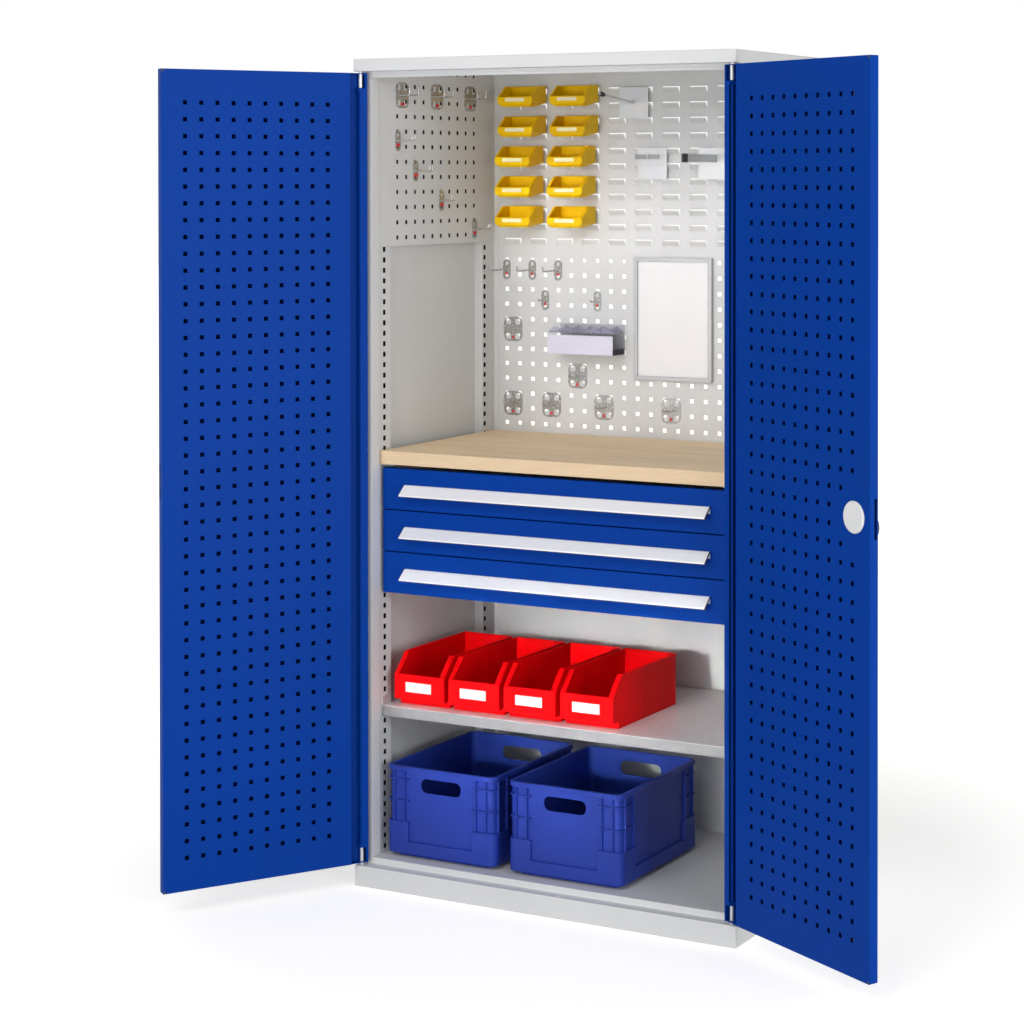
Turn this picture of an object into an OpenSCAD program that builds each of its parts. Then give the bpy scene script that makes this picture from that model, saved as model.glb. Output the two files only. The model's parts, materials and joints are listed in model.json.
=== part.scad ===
// Tool cabinet with two perforated swing doors, a worktop over three drawers,
// a perforated and louvred rear wall, a shelf with bins and two crates.
// The origin is the middle of the carcass on the ground; +Z is up, the doors face -Y.
// Inside the modules x runs 0..body_w from the left wall and y runs 0..body_d from the front.

/* [Cabinet] */
// Width over the side walls
body_w = 1000; // [900:10:1200]
// Depth from the roof band to the rear edge
body_d = 600; // [560:10:700]
// Height from the ground to the top of the roof
body_h = 1950; // [1900:10:2050]
// Thickness of the folded sheet steel
sheet_t = 1.5; // [1.2:0.1:2]
// Height of the roof band
roof_h = 29; // [24:1:40]
// Height of the plinth
plinth_h = 49; // [40:1:70]
// Height of the floor above the plinth's ledge
floor_step = 15; // [10:1:25]
// Depth of the stop lip under the roof ledge
stop_h = 14; // [10:1:24]
// Width of the front stile
stile_w = 30; // [28:1:36]
// Depth of the front stile
stile_d = 33; // [26:1:40]
// Distance from the outside of a side wall to the face of its slotted posts
post_face = 25; // [20:1:26]
// Distance from the rear edge to the face of the rear panels
rear_inset = 15; // [12:1:25]
// Width of the rear flange of a side wall
rear_flange = 34; // [30:1:50]
// Radius of a levelling foot
foot_r = 22; // [15:1:30]
// Distance from the outside of the carcass to the middle of a foot
foot_in = 80; // [75:1:120]
// Width of the flange round the bottom of the plinth
base_flange = 40; // [25:1:44]

/* [Posts] */
// Width of a front post
front_post_w = 53; // [46:1:70]
// Width of a rear post
rear_post_w = 58; // [46:1:70]
// Width of the rear post's inward return
post_return = 13; // [4:1:16]
// Distance between slots
slot_pitch = 25; // [20:1:40]
// Height of a slot
slot_h = 12; // [8:1:15]
// Width of a slot
slot_w = 12; // [5:1:14]
// Lowest slot of a front post above the floor
front_slot_up = 5.5; // [5:0.5:30]
// Lowest slot of a rear post above the floor
rear_slot_up = 23; // [5:1:30]

/* [Perforated walls] */
// Side of a square hole
hole = 10; // [8:0.5:12]
// Distance between holes
pitch = 38; // [34:1:46]
// Height between the rows of holes of a side panel
side_pitch = 36.4; // [34:0.1:46]
// Plain border round a field of holes
border = 24; // [18:1:30]
// Height of a side panel, which hangs under the roof
side_panel_h = 441.5; // [400:0.5:500]
// Lower edge of the louvred panel above the ground
louvre_z = 1490; // [1450:1:1560]
// Width of a louvre tongue
tongue_w = 48; // [36:1:56]
// Height of a louvre tongue
tongue_h = 17; // [12:1:22]
// How far the top of a tongue leans out
tongue_out = 8; // [5:0.5:10]
// Gap between the top of a tongue and its window
tongue_gap = 2.5; // [1:0.5:5]
// Plain border over and under the louvres
louvre_border = 27; // [20:1:34]

/* [Doors] */
// Thickness of a door
door_t = 22; // [20:0.5:26]
// Hinge axis to the side plane of the carcass
hinge_in = 13.5; // [13.5:0.5:16]
// Hinge axis to the front plane of the carcass
hinge_back = 10; // [9:0.5:12]
// Hinge axis to the door's hinged edge
hinge_edge = 12.5; // [11:0.5:13]
// Clearance between a door's turning corner and the stile
swing_gap = 1.7; // [1:0.1:3]
// Gap between the closed doors
middle_gap = 5; // [4:0.5:8]
// Gap over a door
door_gap_top = 4; // [4:0.5:9]
// Gap under a door
door_gap_bottom = 7; // [4:0.5:9]
// Opening angle of the left door as shown
open_left = 122.6; // [90:0.1:180]
// Opening angle of the right door as shown
open_right = 152.1; // [90:0.1:180]
// Hinged edge to the perforated inner panel
groove_w = 43.5; // [38:0.5:50]
// Plain border round the holes of a door
door_border = 50; // [45:1:56]
// Radius of the hinge rod
pin_r = 4.5; // [3:0.25:5]
// Length of the notches at the ends of a door's hinged lip
pin_notch = 36; // [28:1:44]
// Radial running clearance of pins, hub and lock core
run_gap = 0.06; // [0.03:0.01:0.09]

/* [Lock] */
// Distance from a door's free edge to the lock
lock_in = 49; // [45:1:90]
// Height of the lock above the ground
lock_z = 988.5; // [950:0.5:1030]
// Radius of the inner lock cover
cover_r = 33; // [30:1:40]
// Radius of the outer rosette
rosette_r = 32; // [29:1:40]
// Radius of the cam's pins about the lock's axis
throw_r = 14; // [13:0.5:15]
// Width of a locking rod
rod_w = 12; // [10:0.5:14]
// Thickness of a locking rod
rod_t = 4; // [3:0.5:5]
// Length of the cam's tongue from the lock's axis
tongue_len = 60; // [57:0.5:62]
// Length of the grip's wide end below the lock's axis
grip_drop = 22; // [16:1:26]
// Radius of the grip's wide end
grip_r = 28; // [24:1:30]
// Height of the grip over the door
grip_h = 21; // [16:1:26]
// Radius of the lock core
core_r = 8; // [6:0.5:10]

/* [Worktop and drawers] */
// Upper face of the worktop above the ground
worktop_z = 1023; // [1000:1:1060]
// Thickness of the worktop
worktop_t = 32; // [25:1:40]
// Gap between the worktop and the top drawer
worktop_gap = 9; // [6:1:15]
// Height of a drawer front
front_h = 97; // [94:1:100]
// Gap between drawer fronts
front_gap = 2.5; // [2:0.5:4]
// Depth of a drawer front
front_t = 20; // [16:1:26]
// Distance from the stile to the face of the drawer fronts
front_back = 10; // [8:1:20]
// Side clearance of a drawer front in the stiles
front_side = 2; // [1.5:0.5:4]
// Depth of a drawer tray
tray_d = 450; // [380:10:460]
// Height of a drawer tray
tray_h = 70; // [60:1:72]
// Distance from a front's side to its grip
grip_in = 65; // [50:1:120]
// How far a drawer grip stands out
grip_out = 30; // [22:1:32]
// Half height of an outer runner rail
rail_h = 21; // [20:0.5:22]
// Sliding gap between runner rails
rail_gap = 0.3; // [0.2:0.05:0.4]

/* [Shelf, bins and crates] */
// Upper face of the shelf above the ground
shelf_z = 415; // [390:1:440]
// Height of the shelf's front lip
shelf_lip = 25; // [20:1:30]
// Side clearance of the shelf
shelf_side = 3; // [2:0.5:5]
// Width of a shelf bin
bin_w = 139; // [120:1:146]
// Depth of a shelf bin
bin_d = 310; // [260:5:330]
// Height of a shelf bin
bin_h = 122; // [100:1:140]
// Distance between shelf bins
bin_pitch = 152; // [150:1:170]
// First shelf bin to the left wall
bin_x = 53; // [40:1:70]
// Wall of the bins
bin_wall = 2.5; // [2:0.25:3.5]
// Width of a louvre bin
small_w = 102; // [90:1:110]
// Depth of a louvre bin
small_d = 70; // [64:1:95]
// Height of a louvre bin
small_h = 53; // [46:1:60]
// Wall of a louvre bin
small_wall = 2; // [1.5:0.25:3]
// Width of a crate
crate_w = 300; // [260:5:320]
// Depth of a crate
crate_d = 380; // [340:5:420]
// Height of a crate
crate_h = 216; // [190:1:240]
// Depth of a crate's ribs
rib_d = 6; // [4:0.5:8]
// Wall of a crate
crate_wall = 2.5; // [2:0.25:3.5]
// First crate to the left wall
crate_x = 50; // [40:1:80]
// Gap between the crates
crate_gap = 36; // [20:1:60]
// Height of a crate's foot
crate_foot = 10; // [6:1:14]
// Height of a crate's thick lower part
crate_base = 85; // [60:1:100]
// Height of a crate's rim
crate_rim = 11; // [8:1:16]
// Width of a crate's grip hole
hand_w = 110; // [90:1:120]
// Height of a crate's grip hole
hand_h = 33; // [28:1:40]
// Width of a clip under the shelf
clip_w = 24; // [18:1:30]
// Height of a clip under the shelf
clip_h = 40; // [30:1:50]

/* [Fittings] */
// Width of a wide hook plate
hook_w = 54; // [46:1:60]
// Width of a slim hook plate
slim_w = 22; // [16:1:28]
// Height of a wide hook plate
hook_h = 62; // [54:1:70]
// Height of a slim hook plate
slim_h = 52; // [44:1:60]
// Thickness of the plates of hooks and holders
plate_t = 2; // [1.5:0.1:3]
// Radius of the hooks' wire
wire_r = 2.2; // [1.5:0.1:3]
// Reach of a usual hook
reach_usual = 34; // [24:1:44]
// Reach of a long hook
reach_long = 45; // [36:1:56]
// Reach of the hooks under the bins
reach_bins = 75; // [60:1:90]
// Height of a usual hook's upturned end
hook_tip = 12; // [6:1:20]
// Width of the pen tray
pen_w = 187; // [150:1:220]
// Depth of the pen tray
pen_d = 65; // [50:1:80]
// Height of the pen tray's front
pen_h = 48; // [36:1:60]
// Height of the pen tray's back
pen_back = 73; // [60:1:90]
// Width of the document frame
frame_w = 218; // [200:1:240]
// Height of the document frame
frame_h = 306; // [290:1:330]
// Depth of the document frame
frame_t = 12; // [8:0.5:16]
// Width of the document frame's bars
frame_bar = 11; // [8:0.5:16]
// Width of a plate that hangs on the louvres
holder_w = 82; // [70:1:94]
// Height of a plate that hangs on the louvres
holder_h = 78; // [66:1:90]
// Length of the rod on its plate
holder_rod = 168; // [120:1:190]
// Length of the flat bar on its plate
holder_bar = 183; // [120:1:200]
// Length of the two arms on their plate
holder_arm = 60; // [40:1:80]

/* [Hidden] */
$fn = 48;
eps = 0.01;

// Colours
light_grey = [0.80, 0.81, 0.81];
gentian = [0.03, 0.17, 0.56];
zinc = [0.72, 0.73, 0.74];
silver = [0.88, 0.88, 0.90];
beech = [0.83, 0.68, 0.50];
red = [0.80, 0.06, 0.07];
yellow = [0.98, 0.74, 0.02];
violet_blue = [0.13, 0.20, 0.58];
dark = [0.12, 0.12, 0.13];

// Levels and planes of the carcass
floor_z = plinth_h + floor_step;
roof_z = body_h - roof_h;
ceiling_z = body_h - sheet_t;
side_panel_z = ceiling_z - side_panel_h;
front_y = hinge_back + norm([hinge_edge, door_t - hinge_back]) + swing_gap;
post_y = front_y + stile_d;
rear_y = body_d - rear_inset;
rear_post_y = rear_y - rear_post_w;
front_slot_y = post_y + front_post_w / 2 + 1.5;
rear_slot_y = rear_post_y + slot_w / 2 + 5;
front_slot_z = floor_z + front_slot_up;
rear_slot_z = floor_z + rear_slot_up;
perf_z = worktop_z - 7;
tray_tab = 14;
rest_gap = 0.3;
screw_in = 60;
louvre_side = 20;
side_over_front = 25;
side_over_rear = 12;
foot_h = 8;
hook_reach = tongue_out + 0.5;

// Doors, in the frame of a door: x from the hinge axis to the free edge, y to the inner face
door_z0 = plinth_h + door_gap_bottom;
door_z1 = roof_z - door_gap_top;
door_h = door_z1 - door_z0;
door_a = body_w / 2 - middle_gap / 2 - hinge_in;
lock_a = door_a - lock_in;
skin_b = -hinge_back;
inner_b = door_t - hinge_back;
panel_a = groove_w - hinge_edge;
lip_a = 5;
bush_t = 8;
bush_wall = 3.5;

// Lock layers, along the door's depth from the skin
plate_b = skin_b + sheet_t;
cam_b = plate_b + 3;
cam_t = 3;
rod_b = cam_b + cam_t + 0.3;
hub_r = 9;
cam_pin_r = 3;
yoke_gap = 0.6;
throw_x = throw_r * cos(45);
rod_inset = 1;
rod_slot = 2;

// Drawers
rail_x = post_face;
rail_w = 13.5;
drawer_y = post_y + front_back;
front_x = stile_w + front_side;
tray_x = rail_x + rail_w;
tray_y = drawer_y + front_t;
rail_y = tray_y + 1;
rail_len = tray_d + 20;
drawer_count = 3;
grip_top = 37;
grip_face = 24;

// Shelf, bins and crates
shelf_y = post_y + 13;
bin_y = shelf_y + 13;
crate_y = post_y - 4;

function front_z(i) = worktop_z - worktop_t - worktop_gap - front_h - (i - 1) * (front_h + front_gap);
function tray_z(i) = front_z(i) + 8;
function rail_z(i) = tray_z(i) + tray_h / 2;
function count_in(length, edge, step) = floor((length - 2 * edge) / step) + 1;
function first_in(length, edge, step) = (length - (count_in(length, edge, step) - 1) * step) / 2;

// ---------- placing ----------

module at_corner() translate([-body_w / 2, -body_d / 2, 0]) children();

module both_sides() {
    children();
    translate([body_w, 0, 0]) mirror([1, 0, 0]) children();
}

module left_door_place() at_corner()
    translate([hinge_in, hinge_back, 0]) rotate([0, 0, -open_left]) children();

module right_door_place() at_corner() translate([body_w, 0, 0]) mirror([1, 0, 0])
    translate([hinge_in, hinge_back, 0]) rotate([0, 0, -open_right]) children();

// A box given by its two corners
module box(lo, hi) translate(lo) cube(hi - lo);

// A round bar along y from y0 to y1
module bar_y(x, z, y0, y1, r) translate([x, y0, z]) rotate([-90, 0, 0]) cylinder(r = r, h = y1 - y0);

// An outline in x and z, standing in the x-z plane, from y = 0 to y = t
module upright(t) translate([0, t, 0]) rotate([90, 0, 0]) linear_extrude(t) children();

// A rectangle with round corners
module round_rect(w, d, r) {
    translate([r, 0]) square([w - 2 * r, d]);
    translate([0, r]) square([w, d - 2 * r]);
    for (x = [r, w - r], y = [r, d - r]) translate([x, y]) circle(r = r);
}

// A centred field of square holes over a sheet of w by h; a circle of radius blank_r stays plain
module hole_field(w, h, edge_x, edge_z, step_x, step_z, side, blank = [0, 0], blank_r = 0) {
    nx = count_in(w, edge_x, step_x);
    nz = count_in(h, edge_z, step_z);
    for (i = [0:nx - 1], k = [0:nz - 1]) {
        at = [first_in(w, edge_x, step_x) + i * step_x, first_in(h, edge_z, step_z) + k * step_z];
        if (norm(at - blank) > blank_r) translate(at) square(side, center = true);
    }
}

// ---------- carcass ----------

module side_wall() {
    linear_extrude(ceiling_z) {
        translate([0, front_y]) square([sheet_t, body_d - front_y]);
        translate([0, body_d - sheet_t]) square([rear_flange, sheet_t]);
    }
    box([0, front_y, sheet_t], [stile_w, front_y + sheet_t, ceiling_z]);
    translate([0, 0, floor_z]) linear_extrude(ceiling_z - floor_z) {
        translate([stile_w - sheet_t, front_y]) square([sheet_t, stile_d]);
        translate([post_face - sheet_t, post_y - sheet_t]) square([stile_w - post_face + sheet_t, sheet_t]);
    }
}

module side_wall_left() color(light_grey) at_corner() side_wall();

module side_wall_right() color(light_grey) at_corner()
    translate([body_w, 0, 0]) mirror([1, 0, 0]) side_wall();

// Where a locking rod passes a ledge, in carcass x and y
module rod_hole(z) translate([body_w - hinge_in - lock_a, hinge_back + rod_b + rod_t / 2, z])
    cube([rod_w + 2 * rod_slot, rod_t + rod_slot, 4 * sheet_t], center = true);

module pin_holes(z) both_sides()
    translate([hinge_in, hinge_back, z - 2 * sheet_t]) cylinder(r = pin_r, h = 4 * sheet_t);

module roof() color(light_grey) at_corner() difference() {
    union() {
        box([0, 0, ceiling_z], [body_w, body_d, body_h]);
        box([0, 0, roof_z], [body_w, sheet_t, body_h]);
        both_sides() box([0, 0, roof_z], [sheet_t, front_y, body_h]);
        box([0, 0, roof_z], [body_w, front_y, roof_z + sheet_t]);
        box([stile_w, front_y - eps, roof_z - stop_h],
            [body_w - stile_w, front_y + sheet_t, roof_z + sheet_t]);
    }
    rod_hole(roof_z);
    pin_holes(roof_z);
}

// Outline of the plinth's lower flange, which runs round inside the walls
module base_ring(inset) translate([sheet_t + inset, inset])
    square([body_w - 2 * sheet_t - 2 * inset, body_d - 2 * sheet_t - 2 * inset]);

module plinth() color(light_grey) at_corner() difference() {
    union() {
        box([0, 0, 0], [body_w, sheet_t, plinth_h]);
        both_sides() box([0, 0, 0], [sheet_t, front_y, plinth_h]);
        box([0, 0, plinth_h - sheet_t], [body_w, front_y, plinth_h]);
        box([stile_w, front_y - eps, plinth_h - sheet_t], [body_w - stile_w, front_y + sheet_t, floor_z]);
        linear_extrude(sheet_t) difference() {
            base_ring(0);
            base_ring(base_flange);
        }
    }
    rod_hole(plinth_h);
    pin_holes(plinth_h);
}

module floor_pan() color(light_grey) at_corner() {
    box([sheet_t, front_y + sheet_t, floor_z - sheet_t], [body_w - sheet_t, body_d - sheet_t, floor_z]);
    box([sheet_t, body_d - 2 * sheet_t, 0], [body_w - sheet_t, body_d - sheet_t, floor_z]);
}

// Post profiles in x and y
module front_post_outline() {
    translate([post_face - sheet_t, post_y]) square([sheet_t, front_post_w]);
    translate([sheet_t, post_y + front_post_w - sheet_t]) square([post_face - sheet_t, sheet_t]);
}

module rear_post_outline() {
    translate([post_face - sheet_t, rear_post_y]) square([sheet_t, rear_post_w]);
    translate([sheet_t, rear_post_y]) square([post_face - sheet_t, sheet_t]);
    translate([post_face - sheet_t, rear_y - sheet_t]) square([post_return + sheet_t, sheet_t]);
}

module slot_column(y, z) for (k = [0:count_in(side_panel_z - z, slot_h / 2, slot_pitch) - 1])
    translate([post_face - 2 * sheet_t, y - slot_w / 2, z + k * slot_pitch])
        cube([3 * sheet_t, slot_w, slot_h]);

module slotted_posts() color(light_grey) at_corner() both_sides() difference() {
    translate([0, 0, floor_z]) linear_extrude(ceiling_z - floor_z) {
        front_post_outline();
        rear_post_outline();
    }
    slot_column(front_slot_y, front_slot_z);
    slot_column(rear_slot_y, rear_slot_z);
}

rear_x0 = post_face + 1;
rear_w = body_w - 2 * rear_x0;
rear_nz = count_in(louvre_z - perf_z, border, pitch);

// Middle of the rear panel's hole column i from the left and row k from the top
function rear_hole_x(i) = rear_x0 + first_in(rear_w, border, pitch) + i * pitch;
function rear_hole_z(k) = perf_z + first_in(louvre_z - perf_z, border, pitch) + (rear_nz - 1 - k) * pitch;

// A rear panel: a shallow tray whose face is at rear_y, with its edges bent to the back
module rear_tray(z0, z1) {
    depth = rear_inset - sheet_t;
    translate([rear_x0, rear_y, z0]) {
        upright(sheet_t) difference() {
            square([rear_w, z1 - z0]);
            children();
        }
        for (x = [tray_tab, rear_w - tray_tab - sheet_t]) translate([x, 0, 0])
            cube([sheet_t, depth, z1 - z0]);
        for (z = [0, z1 - z0 - sheet_t]) translate([tray_tab, 0, z])
            cube([rear_w - 2 * tray_tab, depth, sheet_t]);
    }
}

module rear_wall_lower() color(light_grey) at_corner() rear_tray(floor_z, perf_z);

module rear_perforated_panel() color(light_grey) at_corner() rear_tray(perf_z, louvre_z)
    hole_field(rear_w, louvre_z - perf_z, border, border, pitch, pitch, hole);

louvre_nx = count_in(body_w - 2 * post_face, tongue_w / 2 + louvre_side, 2 * pitch);
louvre_nz = count_in(ceiling_z - louvre_z, louvre_border, pitch);

// Middle of louvre column i from the left, and the upper edge of louvre row k from the top
function louvre_x(i) = (body_w - (louvre_nx - 1) * 2 * pitch) / 2 + i * 2 * pitch;
function louvre_row(k) = louvre_z + louvre_border + (louvre_nz - 1 - k) * pitch;

module louvre_windows() for (i = [0:louvre_nx - 1], k = [0:louvre_nz - 1])
    translate([louvre_x(i) - rear_x0 - tongue_w / 2, louvre_row(k) - tongue_h - louvre_z])
        square([tongue_w, tongue_h]);

// A tongue cut free at the top and both sides, leaning out from its lower edge
module louvre_tongue() {
    top = tongue_h - tongue_gap;
    translate([-tongue_w / 2 + 1, 0, 0]) rotate([90, 0, 90]) linear_extrude(tongue_w - 2)
        polygon([[0, 0], [sheet_t, 0], [sheet_t - tongue_out, top], [-tongue_out, top]]);
}

module rear_louvre_panel() color(light_grey) at_corner() {
    rear_tray(louvre_z, ceiling_z) louvre_windows();
    for (i = [0:louvre_nx - 1], k = [0:louvre_nz - 1])
        translate([louvre_x(i), rear_y, louvre_row(k) - tongue_h - eps]) louvre_tongue();
}

// Field of holes of a side panel, which reaches over both posts
side_field_y = post_y + front_post_w - side_over_front;
side_field_d = rear_post_y + side_over_rear - side_field_y;
side_edge_y = border + 16;
side_edge_z = border - 4;
side_ny = count_in(side_field_d, side_edge_y, pitch);
side_nz = count_in(side_panel_h, side_edge_z, side_pitch);

// Middle of the side panel's hole column i from the front and row k from the top
function side_hole_y(i) = side_field_y + first_in(side_field_d, side_edge_y, pitch) + i * pitch;
function side_hole_z(k) = side_panel_z + first_in(side_panel_h, side_edge_z, side_pitch)
    + (side_nz - 1 - k) * side_pitch;

// A perforated side panel lies on the faces of both posts
module side_panel() {
    y1 = rear_y - sheet_t;
    translate([post_face, post_y, side_panel_z]) rotate([90, 0, 90]) linear_extrude(sheet_t) difference() {
        square([y1 - post_y, side_panel_h]);
        translate([side_field_y - post_y, 0])
            hole_field(side_field_d, side_panel_h, side_edge_y, side_edge_z, pitch, side_pitch, hole);
    }
    box([post_face - 15, post_y + front_post_w + 1, side_panel_z],
        [post_face + sheet_t, rear_post_y - 1, side_panel_z + sheet_t]);
}

module side_panel_left() color(light_grey) at_corner() side_panel();

module side_panel_right() color(light_grey) at_corner()
    translate([body_w, 0, 0]) mirror([1, 0, 0]) side_panel();

module levelling_feet() color(dark) at_corner()
    for (x = [foot_in, body_w - foot_in], y = [foot_in, body_d - foot_in]) translate([x, y, 0]) {
        cylinder(r = foot_r, h = foot_h);
        cylinder(r = foot_r / 3, h = floor_z - sheet_t);
        translate([0, 0, floor_z - sheet_t - foot_h]) cylinder(r = foot_r / 1.6, h = foot_h, $fn = 6);
    }

// Screw heads that hold the rear panels on the returns of the rear posts
module panel_screws() color(zinc) at_corner() both_sides()
    for (z = [floor_z + 2 * screw_in, (floor_z + perf_z) / 2, perf_z - screw_in, perf_z + screw_in,
            louvre_z - screw_in, louvre_z + screw_in, ceiling_z - screw_in])
        translate([post_face + post_return / 2 + 0.5, rear_y + sheet_t, z]) rotate([-90, 0, 0])
            cylinder(r = 3, h = 2.5, $fn = 24);

// A rod through the whole height of each door, held in the roof's and the plinth's ledges
module hinge_pins() color(zinc) at_corner() both_sides() translate([hinge_in, hinge_back, 0]) {
    low = plinth_h - sheet_t;
    high = roof_z + sheet_t;
    translate([0, 0, low]) cylinder(r = pin_r, h = high - low);
    for (z = [low - 3, high]) translate([0, 0, z]) cylinder(r = pin_r + 3, h = 3);
}

// ---------- doors ----------

// Shell of a door: skin, hinged edge with its lip, free edge, top and bottom flanges
module door_shell() {
    width = door_a + hinge_edge;
    difference() {
        translate([0, 0, door_z0]) {
            translate([-hinge_edge, skin_b, 0]) cube([width, sheet_t, door_h]);
            translate([-hinge_edge, skin_b, 0]) cube([sheet_t, door_t, door_h]);
            translate([-hinge_edge, inner_b - sheet_t, 0]) cube([hinge_edge + lip_a, sheet_t, door_h]);
            translate([door_a - sheet_t, skin_b, 0]) cube([sheet_t, door_t - sheet_t, door_h]);
            for (z = [0, door_h - sheet_t]) translate([-hinge_edge, skin_b, z])
                cube([width, door_t - sheet_t, sheet_t]);
        }
        for (z = [door_z0 - eps, door_z1 - pin_notch])
            translate([-pin_r - 1.5, inner_b - 2 * sheet_t, z])
                cube([lip_a + pin_r + 2, 3 * sheet_t, pin_notch + eps]);
        for (z = [door_z0 - eps, door_z1 - sheet_t - eps]) translate([0, 0, z])
            cylinder(r = pin_r + 1, h = sheet_t + 2 * eps);
        children();
    }
}

// Perforated inner panel of a door, with a flange to the skin along the groove
module door_panel(blank_r = 0) {
    translate([panel_a, inner_b - sheet_t, door_z0]) {
        upright(sheet_t) difference() {
            square([door_a - panel_a, door_h]);
            hole_field(door_a - panel_a, door_h, door_border, door_border + 20, pitch, pitch, hole,
                [lock_a - panel_a, lock_z - door_z0], blank_r);
        }
        translate([0, skin_b - inner_b + 2 * sheet_t, sheet_t])
            cube([sheet_t, door_t - 2 * sheet_t + eps, door_h - 2 * sheet_t]);
    }
}

// Bearing blocks in the hinged channel of a door
module door_bushes() for (z = [door_z0 + pin_notch, door_z1 - pin_notch - bush_t]) difference() {
    translate([-hinge_edge + sheet_t, skin_b + sheet_t, z])
        cube([hinge_edge - sheet_t + pin_r + bush_wall, door_t - 2 * sheet_t, bush_t]);
    translate([0, 0, z - 1]) cylinder(r = pin_r + run_gap, h = bush_t + 2);
}

module door_left_shell() color(gentian) left_door_place() door_shell() tongue_slot();
module door_left_panel() color(gentian) left_door_place() door_panel();
module door_left_bushes() color(dark) left_door_place() door_bushes();

tongue_slot_h = 82;
tongue_slot_w = 7;

// Slot in a free edge that the cam's tongue swings through
module tongue_slot() translate([door_a - 2 * sheet_t, cam_b + cam_t / 2 - tongue_slot_w / 2,
    lock_z - tongue_slot_h / 2]) cube([3 * sheet_t, tongue_slot_w, tongue_slot_h]);

module rod_passage(z) translate([lock_a, rod_b + rod_t / 2, z])
    cube([rod_w + 2, rod_t + 2, 3 * sheet_t], center = true);

module door_right_shell() color(gentian) right_door_place() door_shell() {
    tongue_slot();
    rod_passage(door_z0);
    rod_passage(door_z1);
    bar_y(lock_a, lock_z, skin_b - 1, skin_b + sheet_t + 1, hub_r + 3);
}

// The holes behind the lock cover are left out
module door_right_panel() color(gentian) right_door_place() door_panel(cover_r + 27);

module door_right_bushes() color(dark) right_door_place() door_bushes();

// ---------- lock ----------

module lock_case() color(zinc) right_door_place() translate([lock_a, 0, lock_z]) difference() {
    translate([-30, plate_b, -45]) cube([60, 2.5, 90]);
    bar_y(0, 0, plate_b - 1, plate_b + 4, hub_r + run_gap);
}

module lock_cover() color(silver) right_door_place() translate([lock_a, 0, lock_z]) {
    bar_y(0, 0, inner_b, inner_b + 2.5, cover_r);
    bar_y(0, 0, inner_b + 2.5 - eps, inner_b + 4, cover_r - 3);
}

module handle_rosette() color(dark) right_door_place() translate([lock_a, 0, lock_z]) difference() {
    bar_y(0, 0, skin_b - 5, skin_b, rosette_r);
    bar_y(0, 0, skin_b - 6, skin_b + 1, hub_r + 5 + run_gap);
}

// Drop-shaped grip with its neck and the square spindle
module handle_grip() color(dark) right_door_place() translate([lock_a, 0, lock_z]) difference() {
    union() {
        translate([0, skin_b - 5.3, 0]) rotate([90, 0, 0]) linear_extrude(grip_h - 5.3) {
            circle(r = grip_r - 8);
            translate([0, -grip_drop]) circle(r = grip_r);
            polygon([[8 - grip_r, 0], [-grip_r, -grip_drop], [grip_r, -grip_drop], [grip_r - 8, 0]]);
        }
        bar_y(0, 0, skin_b - 5.3 - eps, skin_b - 0.3, hub_r + 5);
        translate([-4, skin_b - 6, -4]) cube([8, cam_b + cam_t - skin_b + 6, 8]);
    }
    bar_y(0, 0, skin_b - grip_h - 1, skin_b - grip_h + 12, core_r + run_gap);
}

module lock_cylinder() color(zinc) right_door_place() translate([lock_a, 0, lock_z]) difference() {
    bar_y(0, 0, skin_b - grip_h - 1, skin_b - grip_h + 11.5, core_r);
    translate([-0.6, skin_b - grip_h - 2, -3.5]) cube([1.2, 6, 7]);
}

// Cam with its hub, its tongue and the two pins that move the rods
module lock_cam() color(zinc) right_door_place() translate([lock_a, 0, lock_z]) difference() {
    union() {
        bar_y(0, 0, plate_b, cam_b + eps, hub_r);
        bar_y(0, 0, cam_b, cam_b + cam_t, throw_r + 5);
        translate([-9, cam_b, 0]) cube([18, cam_t, tongue_len]);
        for (s = [-1, 1])
            bar_y(s * throw_x, s * throw_x, cam_b + cam_t - eps, rod_b + rod_t + 1, cam_pin_r);
    }
    translate([-4, plate_b - 1, -4]) cube([8, cam_t + 6, 8]);
}

// A rod, reaching up from the lock, with the yoke plate that the cam's pin slides in
module rod(reach) {
    yoke_x = [4.5, throw_r + cam_pin_r + 4];
    slot_x = [throw_x - cam_pin_r - yoke_gap, throw_r + cam_pin_r + yoke_gap];
    start = 32;
    difference() {
        union() {
            translate([-rod_w / 2, rod_b, start]) cube([rod_w, rod_t, reach - start]);
            translate([-yoke_x[1], rod_b, -throw_x - 8])
                cube([yoke_x[1] - yoke_x[0], rod_t, throw_x + 8 + start]);
            translate([-yoke_x[1], rod_b, start - eps]) cube([yoke_x[1] + rod_w / 2, rod_t, 8]);
        }
        translate([-slot_x[1], rod_b - 1, -throw_x - cam_pin_r - yoke_gap])
            cube([slot_x[1] - slot_x[0], rod_t + 2, 2 * (cam_pin_r + yoke_gap)]);
    }
}

module upper_rod() color(zinc) right_door_place() translate([lock_a, 0, lock_z])
    rod(door_z1 - lock_z - rod_inset);

module lower_rod() color(zinc) right_door_place() translate([lock_a, 0, lock_z])
    rotate([0, 180, 0]) rod(lock_z - door_z0 - rod_inset);

module rod_guides() color(dark) right_door_place() for (z = [door_z0 + 60, door_z1 - 80])
    translate([lock_a, 0, z]) difference() {
        translate([-rod_w / 2 - 6, plate_b, 0]) cube([rod_w + 12, rod_b + rod_t + 4 - plate_b, 20]);
        translate([-rod_w / 2 - 0.4, rod_b - 0.4, -1]) cube([rod_w + 0.8, rod_t + 0.8, 22]);
    }

// ---------- worktop, drawers ----------

module worktop() color(beech) at_corner()
    box([rear_x0, post_y + 6, worktop_z - worktop_t], [rear_x0 + rear_w, rear_y - 2, worktop_z]);

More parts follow.
